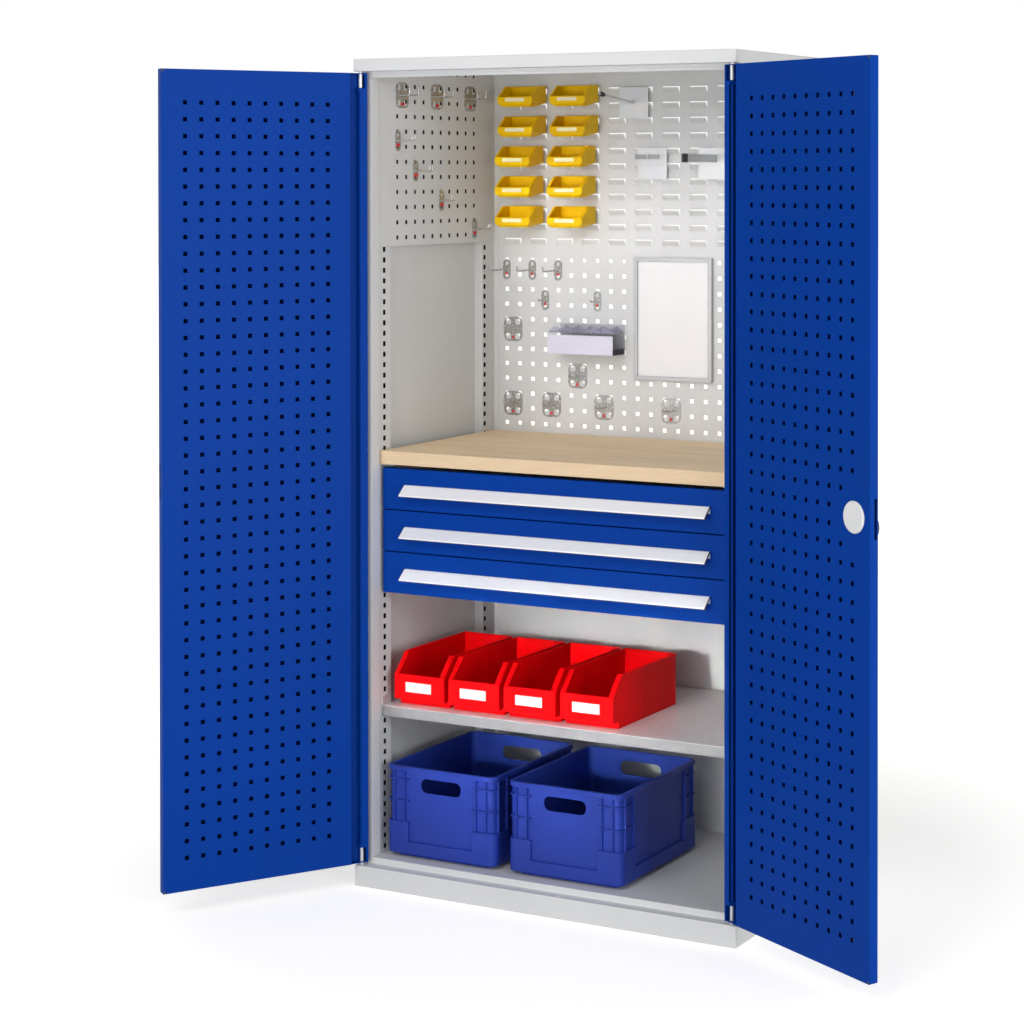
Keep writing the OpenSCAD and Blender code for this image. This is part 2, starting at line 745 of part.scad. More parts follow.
module worktop_brackets() color(zinc) at_corner() both_sides() {
    z = worktop_z - worktop_t;
    box([post_face, post_y + 8, z - 2], [post_face + 40, rear_y - 4, z]);
    box([post_face, post_y + 8, z - 8], [post_face + 2, rear_y - 4, z - 1]);
}

// Outer rail: a channel screwed to both posts
module outer_rail(i) translate([rail_x, rail_y, rail_z(i) - rail_h]) {
    cube([1.2, rail_len, 2 * rail_h]);
    for (z = [0, 2 * rail_h - 1.2]) translate([0, 0, z]) cube([9.5, rail_len, 1.2]);
}

module runner_outer_rails() color(zinc) at_corner() both_sides()
    for (i = [1:drawer_count]) outer_rail(i);

mid_half = rail_h - 1.2 - rail_gap;
inner_half = mid_half - 1.2 - rail_gap;

module mid_rails(i) color(zinc) at_corner() both_sides()
    translate([rail_x + 6.6, rail_y + 2, rail_z(i) - mid_half]) {
        cube([1.2, rail_len - 4, 2 * mid_half]);
        for (z = [0, 2 * mid_half - 1.2]) translate([0, 0, z]) cube([5, rail_len - 4, 1.2]);
    }

module inner_rails(i) color(zinc) at_corner() both_sides()
    translate([rail_x + 6.6 + 1.2 + rail_gap, tray_y, rail_z(i) - inner_half]) {
        reach = rail_w - 6.6 - 1.2 - rail_gap;
        translate([reach - 1.2, 0, 0]) cube([1.2, tray_d - 4, 2 * inner_half]);
        for (z = [0, 2 * inner_half - 1.2]) translate([0, 0, z]) cube([reach, tray_d - 4, 1.2]);
    }

module drawer_tray(i) color(light_grey) at_corner() difference() {
    box([tray_x, tray_y, tray_z(i)], [body_w - tray_x, tray_y + tray_d, tray_z(i) + tray_h]);
    box([tray_x + sheet_t, tray_y + sheet_t, tray_z(i) + sheet_t],
        [body_w - tray_x - sheet_t, tray_y + tray_d - sheet_t, tray_z(i) + tray_h + 1]);
}

module drawer_front(i) color(gentian) at_corner() difference() {
    box([front_x, drawer_y, front_z(i)], [body_w - front_x, tray_y, front_z(i) + front_h]);
    box([front_x + sheet_t, drawer_y + sheet_t, front_z(i) + sheet_t],
        [body_w - front_x - sheet_t, tray_y + 1, front_z(i) + front_h - sheet_t]);
}

// Grip profile: a sloping strip along the front with a turned-down lower edge
module drawer_grip(i) color(silver) at_corner()
    translate([front_x + grip_in, drawer_y, front_z(i) + front_h - grip_top])
        rotate([90, 0, 90]) linear_extrude(body_w - 2 * (front_x + grip_in))
            polygon([[0, 0], [-6, 0], [-grip_out, 3 - grip_face], [-grip_out, -grip_face],
                [2 - grip_out, -grip_face], [2 - grip_out, 3.5 - grip_face], [-5.5, -2.5], [-2, -2.5],
                [-2, -16], [0, -16]]);

// ---------- shelf, bins, crates ----------

module shelf() color(zinc) at_corner() {
    x0 = post_face + shelf_side;
    x1 = body_w - x0;
    y1 = rear_y - 8;
    box([x0, shelf_y, shelf_z - sheet_t], [x1, y1, shelf_z]);
    box([x0, shelf_y, shelf_z - shelf_lip], [x1, shelf_y + sheet_t, shelf_z]);
    box([x0, y1 - sheet_t, shelf_z - shelf_lip], [x1, y1, shelf_z]);
    box([x0, shelf_y, shelf_z - shelf_lip], [x1, shelf_y + 12, shelf_z - shelf_lip + sheet_t]);
}

// Clips hang in the post slots and carry the shelf from below
module shelf_clips() color(zinc) at_corner() both_sides()
    for (at = [[front_slot_y, front_slot_z], [rear_slot_y, rear_slot_z]]) translate([post_face, at[0], 0]) {
        box([0, -clip_w / 2, shelf_z - clip_h / 2], [plate_t, clip_w / 2, shelf_z + clip_h / 2]);
        box([0, -clip_w / 2, shelf_z - sheet_t - plate_t], [clip_h / 2, clip_w / 2, shelf_z - sheet_t]);
        translate([0, 0, slot_under(shelf_z, at[1]) + 1]) box([-sheet_t - 3, -2, 0], [eps, 2, slot_h - 4]);
    }

// Lower edge of the highest slot that starts below z, in a post whose lowest slot is at first
function slot_under(z, first) = first + slot_pitch * floor((z - first) / slot_pitch);

// Open-fronted bin; the side outline falls to the front lip along a slope
module open_bin(w, d, h, front, foot, foot_d, slope, wall, lip) {
    module side(grow) rotate([90, 0, 90]) linear_extrude(grow) polygon([[foot_d, 0], [d, 0], [d, h],
        [slope, h], [0, front], [0, foot], [foot_d, foot]]);
    module slope_lip(t) rotate([90, 0, 90]) linear_extrude(t)
        polygon([[0, front - wall], [0, front], [slope, h], [slope + 1, h - wall - 1],
            [wall, front - wall]]);
    difference() {
        side(w);
        translate([wall, wall, foot + wall]) cube([w - 2 * wall, d - 2 * wall, h]);
        translate([wall, foot_d + wall, wall]) cube([w - 2 * wall, d - foot_d - 2 * wall, h]);
    }
    for (x = [0, w - lip]) translate([x, 0, 0]) slope_lip(lip);
    translate([0, d - wall, h - h / 10]) cube([w, wall * 2, h / 10]);
}

module shelf_bin(i) color(red) at_corner()
    translate([bin_x + (i - 1) * bin_pitch, bin_y, shelf_z + rest_gap])
        open_bin(bin_w, bin_d, bin_h, 0.61 * bin_h, 0.13 * bin_h, 0.087 * bin_d, 0.142 * bin_d,
            bin_wall, 13);

// Side and front outlines of a small bin or, with an inset, of its inside, which is open at the top
module small_side(inset, top) polygon([[0.1 * small_d + inset / 2, inset], [0.4 * small_d, inset],
    [small_d - inset, 0.18 * small_h + inset], [small_d - inset, small_h + top], [inset, small_h + top],
    [inset, 0.12 * small_h + inset / 2]]);

module small_front(inset, top) {
    cut = 0.2 * small_h;
    polygon([[cut + inset / 2, inset], [small_w - cut - inset / 2, inset], [small_w - inset, cut + inset / 2],
        [small_w - inset, small_h + top], [inset, small_h + top], [inset, cut + inset / 2]]);
}

module small_block(inset, top) intersection() {
    rotate([90, 0, 90]) linear_extrude(small_w) small_side(inset, top);
    upright(small_d) small_front(inset, top);
}

// Small bin with a low front, sloping sides, a rising bottom and a lip that hooks over a tongue
module small_bin() {
    front = 0.46 * small_h;
    slope = 0.5 * small_d;
    lip_w = 7;
    difference() {
        small_block(0, 0);
        small_block(small_wall, 1);
        rotate([90, 0, 90]) translate([0, 0, -1]) linear_extrude(small_w + 2)
            polygon([[-1, front], [0, front], [slope, small_h], [slope, small_h + 1], [-1, small_h + 1]]);
    }
    for (x = [0, small_w - lip_w]) translate([x, 0, 0]) rotate([90, 0, 90]) linear_extrude(lip_w)
        polygon([[0, front - small_wall], [0, front], [slope, small_h], [slope + 1, small_h - small_wall - 1],
            [small_wall, front - small_wall]]);
    translate([8, small_d - eps, small_h - 5.6 - tongue_gap]) cube([small_w - 16, hook_reach, 2]);
    translate([8, small_d + hook_reach - 2, small_h - 8.6 - tongue_gap]) cube([small_w - 16, 2, 3.1]);
}

// They hang on every second row of tongues; the lower three rows sit a little to the left
module louvre_bins() color(yellow) at_corner() for (row = [0:4], col = [0:1])
    translate([louvre_x(2 * col) + 2 - (row > 1 ? 8 : 0), rear_y - tongue_out - 3 - small_d,
        louvre_row(2 * row) + 6 - small_h]) small_bin();

module crate_shape() {
    foot_inset = crate_w / 15;
    panel_x = 0.207 * crate_w;
    panel_y = 0.184 * crate_d;
    panel_z = crate_base - 46;
    hand_z = crate_h - 2 * hand_h + 8;
    module body(inset, r) translate([inset, inset]) round_rect(crate_w - 2 * inset, crate_d - 2 * inset, r);
    difference() {
        union() {
            linear_extrude(crate_foot + eps) body(foot_inset, 12);
            translate([0, 0, crate_foot]) linear_extrude(crate_h - crate_foot) body(rib_d, 14);
            translate([0, 0, crate_foot]) linear_extrude(crate_base - crate_foot) body(0, 18);
            for (z = [0.62, 0.855]) translate([0, 0, z * crate_h]) linear_extrude(2.5) body(0, 18);
            translate([0, 0, crate_h - crate_rim]) linear_extrude(crate_rim) body(0, 18);
            for (x = [22, 50, crate_w - 52.5, crate_w - 24.5]) translate([x, 0, crate_foot])
                cube([2.5, crate_d, crate_h - crate_foot - 1]);
            for (y = [22, 60, crate_d - 62.5, crate_d - 24.5]) translate([0, y, crate_foot])
                cube([crate_w, 2.5, crate_h - crate_foot - 1]);
        }
        translate([0, 0, crate_foot + 4]) linear_extrude(crate_h) body(rib_d + crate_wall, 12);
        for (y = [-1, crate_d - rib_d]) translate([panel_x, y, panel_z])
            cube([crate_w - 2 * panel_x, rib_d + 1, crate_h - crate_rim - panel_z]);
        for (x = [-1, crate_w - rib_d]) translate([x, panel_y, panel_z])
            cube([rib_d + 1, crate_d - 2 * panel_y, crate_h - crate_rim - panel_z]);
        translate([(crate_w - hand_w) / 2, -1, hand_z]) upright(crate_d + 2)
            round_rect(hand_w, hand_h, 14);
    }
}

module crate(i) color(violet_blue) at_corner()
    translate([crate_x + (i - 1) * (crate_w + crate_gap), crate_y, floor_z + rest_gap]) crate_shape();

// ---------- fittings on the panels ----------

// A prong that runs out along -y and turns up at its end
module prong(x, out, up) translate([x, 0, 0]) {
    bar_y(0, 0, -out, 0, wire_r);
    translate([0, -out, 0]) sphere(r = wire_r);
    translate([0, -out, 0]) cylinder(r = wire_r, h = up);
}

// A plate with round corners, hanging a little under a row of holes, with one or two prongs
module hook(w, h, spread, out, up) translate([0, -plate_t, -h / 2]) {
    translate([-w / 2, 0, 0]) upright(plate_t) round_rect(w, h, 10);
    translate([0, 0, h / 2]) {
        if (spread > 0) {
            prong(-spread / 2, out, up);
            prong(spread / 2, out, up);
        } else prong(0, out, up);
    }
}

// Places counted in hole columns and rows; a half stands between two holes
module on_rear(i, k, drop) translate([rear_hole_x(i), rear_y, rear_hole_z(k) - drop]) children();
module on_left(i, k) translate([post_face + sheet_t, side_hole_y(i), side_hole_z(k)])
    rotate([0, 0, 90]) children();

side_hang = 1.6;

module tool_hooks() color(zinc) at_corner() {
    last = side_ny - 1;
    for (i = [0.5, last / 2, last - 0.5]) on_left(i, side_hang)
        hook(hook_w, hook_h, hook_w - 16, reach_usual, 1.5 * hook_tip);
    on_left(0, side_hang + 3) hook(slim_w, slim_h, slim_w / 2, reach_long, hook_tip);
    on_left(2, side_hang + 5) hook(slim_w, slim_h, slim_w / 2, reach_long, hook_tip);
    on_left(5, side_hang + 7) hook(slim_w, slim_h, slim_w / 2, reach_usual, hook_tip);
    on_left(last, side_hang + 9) hook(slim_w, slim_h, slim_w / 2, reach_long, hook_tip);
    for (i = [0, 2, 4]) on_rear(i, 0, slim_h / 2) hook(slim_w, slim_h, 0, reach_bins, hook_tip);
    for (i = [3, 7]) on_rear(i, 2, slim_h / 2) hook(slim_w, slim_h, 0, reach_usual, hook_tip / 2);
    on_rear(0.5, 4, slim_h / 2) hook(hook_w, hook_h, slim_w / 2, reach_usual, hook_tip / 2);
    on_rear(5.5, 7, slim_h / 2) hook(hook_w, hook_h, slim_w / 2, reach_usual, hook_tip / 2);
    for (i = [0.5, 3.5, 7.5, 12.5]) on_rear(i, 9, slim_h / 2)
        hook(hook_w, hook_h, slim_w / 2, reach_usual, hook_tip);
}

// The tray hangs in the fifth row of holes
module pen_tray() color(silver) at_corner()
    translate([rear_hole_x(4) + 6, rear_y - pen_d, rear_hole_z(4) - 7 - pen_back]) {
        cube([pen_w, sheet_t, pen_h]);
        cube([pen_w, pen_d, sheet_t]);
        translate([0, pen_d - sheet_t, 0]) cube([pen_w, sheet_t, pen_back]);
        translate([0, 0, 2 / 3 * pen_h]) difference() {
            cube([pen_w, pen_d - 1, 2]);
            for (k = [0:4]) translate([0.107 * pen_w + k * 0.1965 * pen_w, pen_d / 2, -1])
                cylinder(r = pen_d / 6, h = 4);
        }
    }

// The frame hangs in the top row of holes
module document_frame() color(silver) at_corner()
    translate([rear_hole_x(10) - 6, rear_y - frame_t, rear_hole_z(0) + frame_t - frame_h]) difference() {
        upright(frame_t) round_rect(frame_w, frame_h, 6);
        translate([frame_bar, -1, frame_bar])
            cube([frame_w - 2 * frame_bar, frame_t / 2 + 1, frame_h - 2 * frame_bar]);
    }

// Plates that hook over the tongues, with a round rod, a flat bar or two arms
module holder_plate() {
    translate([0, -tongue_out - 3, 0]) cube([holder_w, plate_t + 0.5, holder_h]);
    translate([holder_w / 4, -tongue_out - 1, holder_h - 1.8]) cube([holder_w / 2, tongue_out + 1, 1.8]);
}

module tool_holders() color(zinc) at_corner() {
    translate([louvre_x(4) + 11, rear_y, louvre_row(2) - tongue_gap]) {
        holder_plate();
        translate([0.46 * holder_w, -tongue_out - 2, holder_h / 2]) rotate([84, 0, 0])
            cylinder(r = 3, h = holder_rod);
    }
    translate([louvre_x(7) + 5, rear_y, louvre_row(6) - tongue_gap]) {
        holder_plate();
        translate([0.585 * holder_w, -tongue_out - 2 - holder_bar, 0.54 * holder_h])
            cube([3, holder_bar, holder_h / 4]);
    }
    translate([louvre_x(5) - 13, rear_y, louvre_row(6) - tongue_gap]) {
        holder_plate();
        for (x = [0.27, 0.7]) translate([x * holder_w, -tongue_out - 2 - holder_arm, 0.64 * holder_h])
            cube([3, holder_arm, holder_h / 6.5]);
    }
}

// ---------- assembly ----------

side_wall_left();
side_wall_right();
roof();
plinth();
floor_pan();
rear_wall_lower();
rear_perforated_panel();
rear_louvre_panel();
side_panel_left();
side_panel_right();
slotted_posts();
worktop();
worktop_brackets();
shelf();
shelf_clips();
runner_outer_rails();
hinge_pins();
levelling_feet();
panel_screws();
tool_hooks();
pen_tray();
document_frame();
tool_holders();
louvre_bins();
door_left_shell();
door_left_panel();
door_left_bushes();
door_right_shell();
door_right_panel();
door_right_bushes();
lock_case();
rod_guides();
lock_cover();
handle_rosette();
handle_grip();
lock_cam();
lock_cylinder();
upper_rod();
lower_rod();
drawer_tray(1);  // drawer_tray_1
drawer_tray(2);  // drawer_tray_2
drawer_tray(3);  // drawer_tray_3
drawer_front(1);  // drawer_front_1
drawer_front(2);  // drawer_front_2
drawer_front(3);  // drawer_front_3
drawer_grip(1);  // drawer_grip_1
drawer_grip(2);  // drawer_grip_2
drawer_grip(3);  // drawer_grip_3
inner_rails(1);  // inner_rails_1
inner_rails(2);  // inner_rails_2
inner_rails(3);  // inner_rails_3
mid_rails(1);  // mid_rails_1
mid_rails(2);  // mid_rails_2
mid_rails(3);  // mid_rails_3
shelf_bin(1);  // shelf_bin_1
shelf_bin(2);  // shelf_bin_2
shelf_bin(3);  // shelf_bin_3
shelf_bin(4);  // shelf_bin_4
crate(1);  // crate_1
crate(2);  // crate_2
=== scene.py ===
import json
import logging
import math
from dataclasses import dataclass
from enum import Enum
from typing import Sequence

import bmesh
import bpy
from mathutils import Matrix, Vector

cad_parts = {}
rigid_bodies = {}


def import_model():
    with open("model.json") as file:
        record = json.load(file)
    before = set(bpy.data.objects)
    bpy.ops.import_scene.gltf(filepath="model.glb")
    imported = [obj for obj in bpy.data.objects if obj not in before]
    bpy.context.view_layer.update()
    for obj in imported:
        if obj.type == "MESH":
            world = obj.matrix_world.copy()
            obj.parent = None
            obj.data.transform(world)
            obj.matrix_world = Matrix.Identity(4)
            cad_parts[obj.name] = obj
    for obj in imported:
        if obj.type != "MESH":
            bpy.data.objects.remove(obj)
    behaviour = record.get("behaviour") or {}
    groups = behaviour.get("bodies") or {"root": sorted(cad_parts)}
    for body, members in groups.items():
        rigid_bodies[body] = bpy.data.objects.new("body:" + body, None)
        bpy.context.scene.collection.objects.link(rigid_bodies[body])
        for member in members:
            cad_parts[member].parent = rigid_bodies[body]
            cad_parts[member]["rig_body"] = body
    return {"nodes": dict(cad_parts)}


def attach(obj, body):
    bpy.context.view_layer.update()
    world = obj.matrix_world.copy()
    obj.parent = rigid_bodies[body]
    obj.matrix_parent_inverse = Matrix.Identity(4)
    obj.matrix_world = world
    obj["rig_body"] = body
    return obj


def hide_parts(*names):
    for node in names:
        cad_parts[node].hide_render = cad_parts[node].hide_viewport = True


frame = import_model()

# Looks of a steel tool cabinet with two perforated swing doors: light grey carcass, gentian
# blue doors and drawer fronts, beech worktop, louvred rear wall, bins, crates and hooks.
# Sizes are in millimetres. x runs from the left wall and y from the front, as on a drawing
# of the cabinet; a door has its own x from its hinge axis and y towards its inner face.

LOG = logging.getLogger("tool_cabinet")
MM = 0.001
WIDTH, DEPTH, HEIGHT = 1000.0, 600.0, 1950.0
SHEET = 1.5
FLOOR_Z = 64.0
CEILING_Z = 1948.5
POST_FACE = 25.0
FRONT_POST_Y = 62.03
REAR_POST_Y = 527.0
REAR_Y = 585.0
SIDE_PANEL_Z = 1507.0
PERFORATED_Z = 1016.0
LOUVRE_Z = 1490.0
LOUVRE_TOP = 1897.0
LOUVRE_X = 82.0
PITCH = 38.0
SIDE_ROW = 36.4
CABINET = Matrix.Translation((-WIDTH / 2 * MM, -DEPTH / 2 * MM, 0)) @ Matrix.Scale(MM, 4)
MIRROR_X = Matrix.Scale(-1, 4, (1, 0, 0))
LOOSE = Matrix.Identity(4)
UP = (0, 0, 1)
HINGE = (13.5, 10.0, 0.0)
DRESSED = "_dressed"

Point = Sequence[float]
Outline = Sequence[tuple[float, float]]
Colour = tuple[int, int, int]
Socket = bpy.types.NodeSocket


class Side(Enum):
    """Which side of the cabinet a piece is on."""

    LEFT = "left"
    RIGHT = "right"

    def carcass(self) -> Matrix:
        """Gives the place of a piece that is drawn for the left side wall.

        Returns:
            The place, mirrored for the right side.
        """
        if self is Side.LEFT:
            return CABINET
        return CABINET @ Matrix.Translation((WIDTH, 0, 0)) @ MIRROR_X


class Plane(Enum):
    """The plane an outline is drawn in; it is pushed out along the third direction."""

    XY = (0, 1, 2)
    XZ = (0, 2, 1)
    YZ = (1, 2, 0)

    def point(self, u: float, v: float, w: float) -> Vector:
        """Gives a point.

        Args:
            u: along the plane's first direction.
            v: along its second direction.
            w: along the third direction.

        Returns:
            The point.
        """
        out = Vector((0, 0, 0))
        for axis, value in zip(self.value, (u, v, w)):
            out[axis] = value
        return out


# ---------- finishes ----------


def linear(colour: Colour) -> tuple[float, float, float, float]:
    """Gives the scene-linear value of a colour.

    Args:
        colour: red, green and blue from 0 to 255, as they look on a screen.

    Returns:
        Red, green, blue and an alpha of 1.
    """
    parts = []
    for part in colour:
        share = part / 255
        parts.append(share / 12.92 if share <= 0.04045 else ((share + 0.055) / 1.055) ** 2.4)
    return (parts[0], parts[1], parts[2], 1.0)


def shaded(colour: Colour, factor: float) -> Colour:
    """Gives a lighter or darker tone of a colour.

    Args:
        colour: red, green and blue from 0 to 255.
        factor: below 1 for darker and above 1 for lighter.

    Returns:
        The tone, from 0 to 255.
    """
    red, green, blue = (min(255, max(0, round(part * factor))) for part in colour)
    return (red, green, blue)


class Nodes:
    """A node tree while it is made."""

    def __init__(self, tree: bpy.types.NodeTree) -> None:
        """Takes up a tree."""
        self.tree = tree

    def add(self, kind: str, inputs: dict[str | int, object] | None = None,
            **settings: object) -> bpy.types.NodeOutputs:
        """Adds a node.

        Args:
            kind: the node's type.
            inputs: values or sockets by input name or number.
            settings: the node's own properties.

        Returns:
            The node's outputs.
        """
        node = self.tree.nodes.new(kind)
        for label, value in settings.items():
            setattr(node, label, value)
        for label, value in (inputs or {}).items():
            for one in value if isinstance(value, list) else [value]:
                self.feed(node.inputs[label], one)
        return node.outputs

    def feed(self, socket: Socket, value: object) -> None:
        """Links a socket to another one, or sets its value.

        Args:
            socket: the input.
            value: an output socket, a number or a colour.
        """
        if isinstance(value, Socket):
            self.tree.links.new(value, socket)
        else:
            socket.default_value = value

    def maths(self, operation: str, first: object, second: object = 0.0) -> Socket:
        """Joins two values, each a socket or a number, by one kind of sum."""
        return self.add("ShaderNodeMath", {0: first, 1: second}, operation=operation)[0]


class Surface(Nodes):
    """The nodes of one material while it is made."""

    def __init__(self, finish: "Finish") -> None:
        """Starts the material with the finish's plain values.

        Args:
            finish: the finish that the material shows.
        """
        self.finish = finish
        self.material = bpy.data.materials.new(finish.name)
        self.material.use_nodes = True
        self.material.diffuse_color = linear(finish.colour)
        super().__init__(self.material.node_tree)
        self.shader = self.tree.nodes["Principled BSDF"].inputs
        self.shader["Base Color"].default_value = linear(finish.colour)
        self.shader["Roughness"].default_value = finish.roughness
        self.shader["Metallic"].default_value = finish.metallic
        self.shader["Specular IOR Level"].default_value = finish.specular
        self.here = self.add("ShaderNodeTexCoord")["Object"]

    def place(self, stretch: Point) -> Socket:
        """Gives the piece's own coordinates in metres, stretched along x, y and z."""
        return self.add("ShaderNodeMapping", {"Vector": self.here, "Scale": stretch})["Vector"]

    def noise(self, scale: float, detail: float = 2, stretch: Point | None = None) -> Socket:
        """Gives a soft noise from 0 to 1.

        Args:
            scale: waves per metre.
            detail: how many finer layers lie on it.
            stretch: factors along x, y and z, for grain and lines.

        Returns:
            The noise's value output.
        """
        where = self.here if stretch is None else self.place(stretch)
        return self.add("ShaderNodeTexNoise", {"Vector": where, "Scale": scale, "Detail": detail})["Fac"]

    def ramp(self, value: Socket, stops: Sequence[tuple[float, Colour]]) -> Socket:
        """Turns a value into a colour.

        Args:
            value: the value, from 0 to 1.
            stops: two or more places on the ramp with their colours.

        Returns:
            The colour output.
        """
        output = self.add("ShaderNodeValToRGB", {"Fac": value})["Color"]
        points = output.node.color_ramp.elements
        for _ in stops[2:]:
            points.new(0.5)
        for point, (where, colour) in zip(points, stops):
            point.position = where
            point.color = linear(colour)
        return output

    def tones(self, value: Socket, darker: float, lighter: float, start: float = 0.3,
              end: float = 0.7) -> Socket:
        """Turns a value into tones of the finish's colour.

        Args:
            value: the value, from 0 to 1.
            darker: factor of the tone at the start.
            lighter: factor of the tone at the end.
            start: where the tones start to change.
            end: where they stop changing.

        Returns:
            The colour output.
        """
        colour = self.finish.colour
        return self.ramp(value, [(start, shaded(colour, darker)), (end, shaded(colour, lighter))])

    def span(self, value: Socket, low: float, high: float) -> Socket:
        """Maps a value from 0..1 to the span from low to high."""
        return self.add("ShaderNodeMapRange", {"Value": value, "To Min": low, "To Max": high})["Result"]

    def blend(self, share: object, first: object, second: object, kind: str = "MIX") -> Socket:
        """Mixes two colours.

        Args:
            share: how much of the second one shows.
            first: the colour below.
            second: the colour on top.
            kind: how they mix.

        Returns:
            The colour output.
        """
        inputs = {0: share, 6: first, 7: second}
        return self.add("ShaderNodeMix", inputs, data_type="RGBA", blend_type=kind)[2]

    def colour(self, socket: Socket) -> None:
        """Joins a colour to the shader."""
        self.feed(self.shader["Base Color"], socket)

    def gloss(self, value: Socket, smoother: float, rougher: float) -> None:
        """Varies the finish's roughness from smoother to rougher, as a value goes from 0 to 1."""
        base = self.finish.roughness
        self.feed(self.shader["Roughness"], self.span(value, base + smoother, base + rougher))

    def bump(self, height: Socket, depth: float, strength: float = 1.0) -> None:
        """Raises the surface by a height, on top of what already raises it.

        Args:
            height: the height, from 0 to 1.
            depth: the full height in metres.
            strength: how strongly it shows.
        """
        inputs = {"Height": height, "Distance": depth, "Strength": strength}
        previous = self.shader["Normal"].links
        if previous:
            inputs["Normal"] = previous[0].from_socket
        self.feed(self.shader["Normal"], self.add("ShaderNodeBump", inputs)["Normal"])


@dataclass(frozen=True)
class Finish:
    """One finish: its colour, how smooth it is, and the record's slot that it stands for."""

    name: str
    slot: str
    colour: Colour
    roughness: float = 0.45
    metallic: float = 0.0
    specular: float = 0.5

    def material(self) -> bpy.types.Material:
        """Makes the finish's material, once.

        Returns:
            The material.
        """
        known = bpy.data.materials.get(self.name)
        if known is not None:
            return known
        surface = Surface(self)
        self.dress(surface)
        return surface.material

    def dress(self, surface: Surface) -> None:
        """Adds an uneven gloss."""
        surface.gloss(surface.noise(40), -0.05, 0.05)


@dataclass(frozen=True)
class PowderCoat(Finish):
    """Baked powder paint with its fine orange peel."""

    peel: float = 620.0
    depth: float = 0.00006

    def dress(self, surface: Surface) -> None:
        """Adds soft clouds of tone, uneven gloss and orange peel.

        Args:
            surface: the material in the making.
        """
        surface.colour(surface.tones(surface.noise(2.2, 3), 0.975, 1.02))
        surface.gloss(surface.noise(90, 3), -0.06, 0.06)
        surface.bump(surface.noise(self.peel, 1), self.depth, 0.6)
        surface.bump(surface.noise(9, 1), 0.0004, 0.25)


@dataclass(frozen=True)
class Galvanised(Finish):
    """Hot-dip zinc with its crystal flowers."""

    flowers: float = 85.0

    def dress(self, surface: Surface) -> None:
        """Adds crystals of differing tone and gloss, and fine rolling lines.

        Args:
            surface: the material in the making.
        """
        cells = surface.add("ShaderNodeTexVoronoi", {"Vector": surface.here, "Scale": self.flowers})
        crystal = surface.add("ShaderNodeSeparateColor", {"Color": cells["Color"]})["Red"]
        clouds = surface.span(surface.noise(16, 4), 0.0, 0.4)
        mixed = surface.maths("ADD", surface.maths("MULTIPLY", crystal, 0.6), clouds)
        surface.colour(surface.tones(mixed, 0.985, 1.01, 0.15, 0.85))
        surface.gloss(crystal, -0.01, 0.02)
        surface.bump(surface.noise(1, 4, (12, 900, 900)), 0.00002, 0.5)


@dataclass(frozen=True)
class ZincPlate(Finish):
    """Bright zinc plating with a faint tint."""

    def dress(self, surface: Surface) -> None:
        """Adds bluish and yellowish clouds and fine drawing lines.

        Args:
            surface: the material in the making.
        """
        red, green, blue = self.colour
        bluish, yellowish = (red - 3, green, blue + 4), (red + 2, green, blue - 3)
        surface.colour(surface.ramp(surface.noise(28, 4), [(0.3, bluish), (0.7, yellowish)]))
        surface.gloss(surface.noise(180, 3), -0.04, 0.05)
        surface.bump(surface.noise(1, 2, (60, 900, 900)), 0.00001, 0.15)


@dataclass(frozen=True)
class Anodised(Finish):
    """Aluminium profile, brushed along x and anodised."""

    def dress(self, surface: Surface) -> None:
        """Adds long brush lines.

        Args:
            surface: the material in the making.
        """
        lines = surface.noise(1, 5, (3, 1500, 1500))
        surface.colour(surface.tones(lines, 0.96, 1.03, 0.25, 0.75))
        surface.gloss(lines, -0.06, 0.08)
        surface.bump(lines, 0.00002, 0.5)


@dataclass(frozen=True)
class BeechTop(Finish):
    """Oiled beech face with long grain and the short flecks of its rays."""

    grain: float = 26.0

    def dress(self, surface: Surface) -> None:
        """Adds waving grain, tonal streaks, ray flecks and pores.

        Args:
            surface: the material in the making.
        """
        grain = surface.add("ShaderNodeTexNoise", {"Vector": surface.place((0.09, 1, 1)), "Scale": self.grain,
                                                   "Detail": 5.0, "Distortion": 0.35})["Fac"]
        red, green, blue = self.colour
        pale = (min(255, red + 8), min(255, green + 8), blue + 8)
        base = surface.ramp(grain, [(0.28, shaded(self.colour, 0.94)), (0.5, self.colour), (0.75, pale)])
        drift = surface.noise(1, 3, (2.2, 7, 7))
        streaks = surface.ramp(drift, [(0.3, (232, 226, 216)), (0.7, (255, 255, 255))])
        streaked = surface.blend(0.4, base, streaks, "MULTIPLY")
        rays = surface.add("ShaderNodeTexVoronoi", {"Vector": surface.place((130, 900, 900)), "Scale": 1.0})
        flecks = surface.add("ShaderNodeMapRange", {"Value": rays["Distance"], "From Min": 0.1,
                                                    "From Max": 0.26, "To Min": 0.5, "To Max": 0.0})["Result"]
        surface.colour(surface.blend(flecks, streaked, linear(shaded(self.colour, 0.8))))
        surface.gloss(grain, -0.05, 0.08)
        surface.bump(surface.noise(1, 3, (60, 1500, 1500)), 0.00005, 0.35)


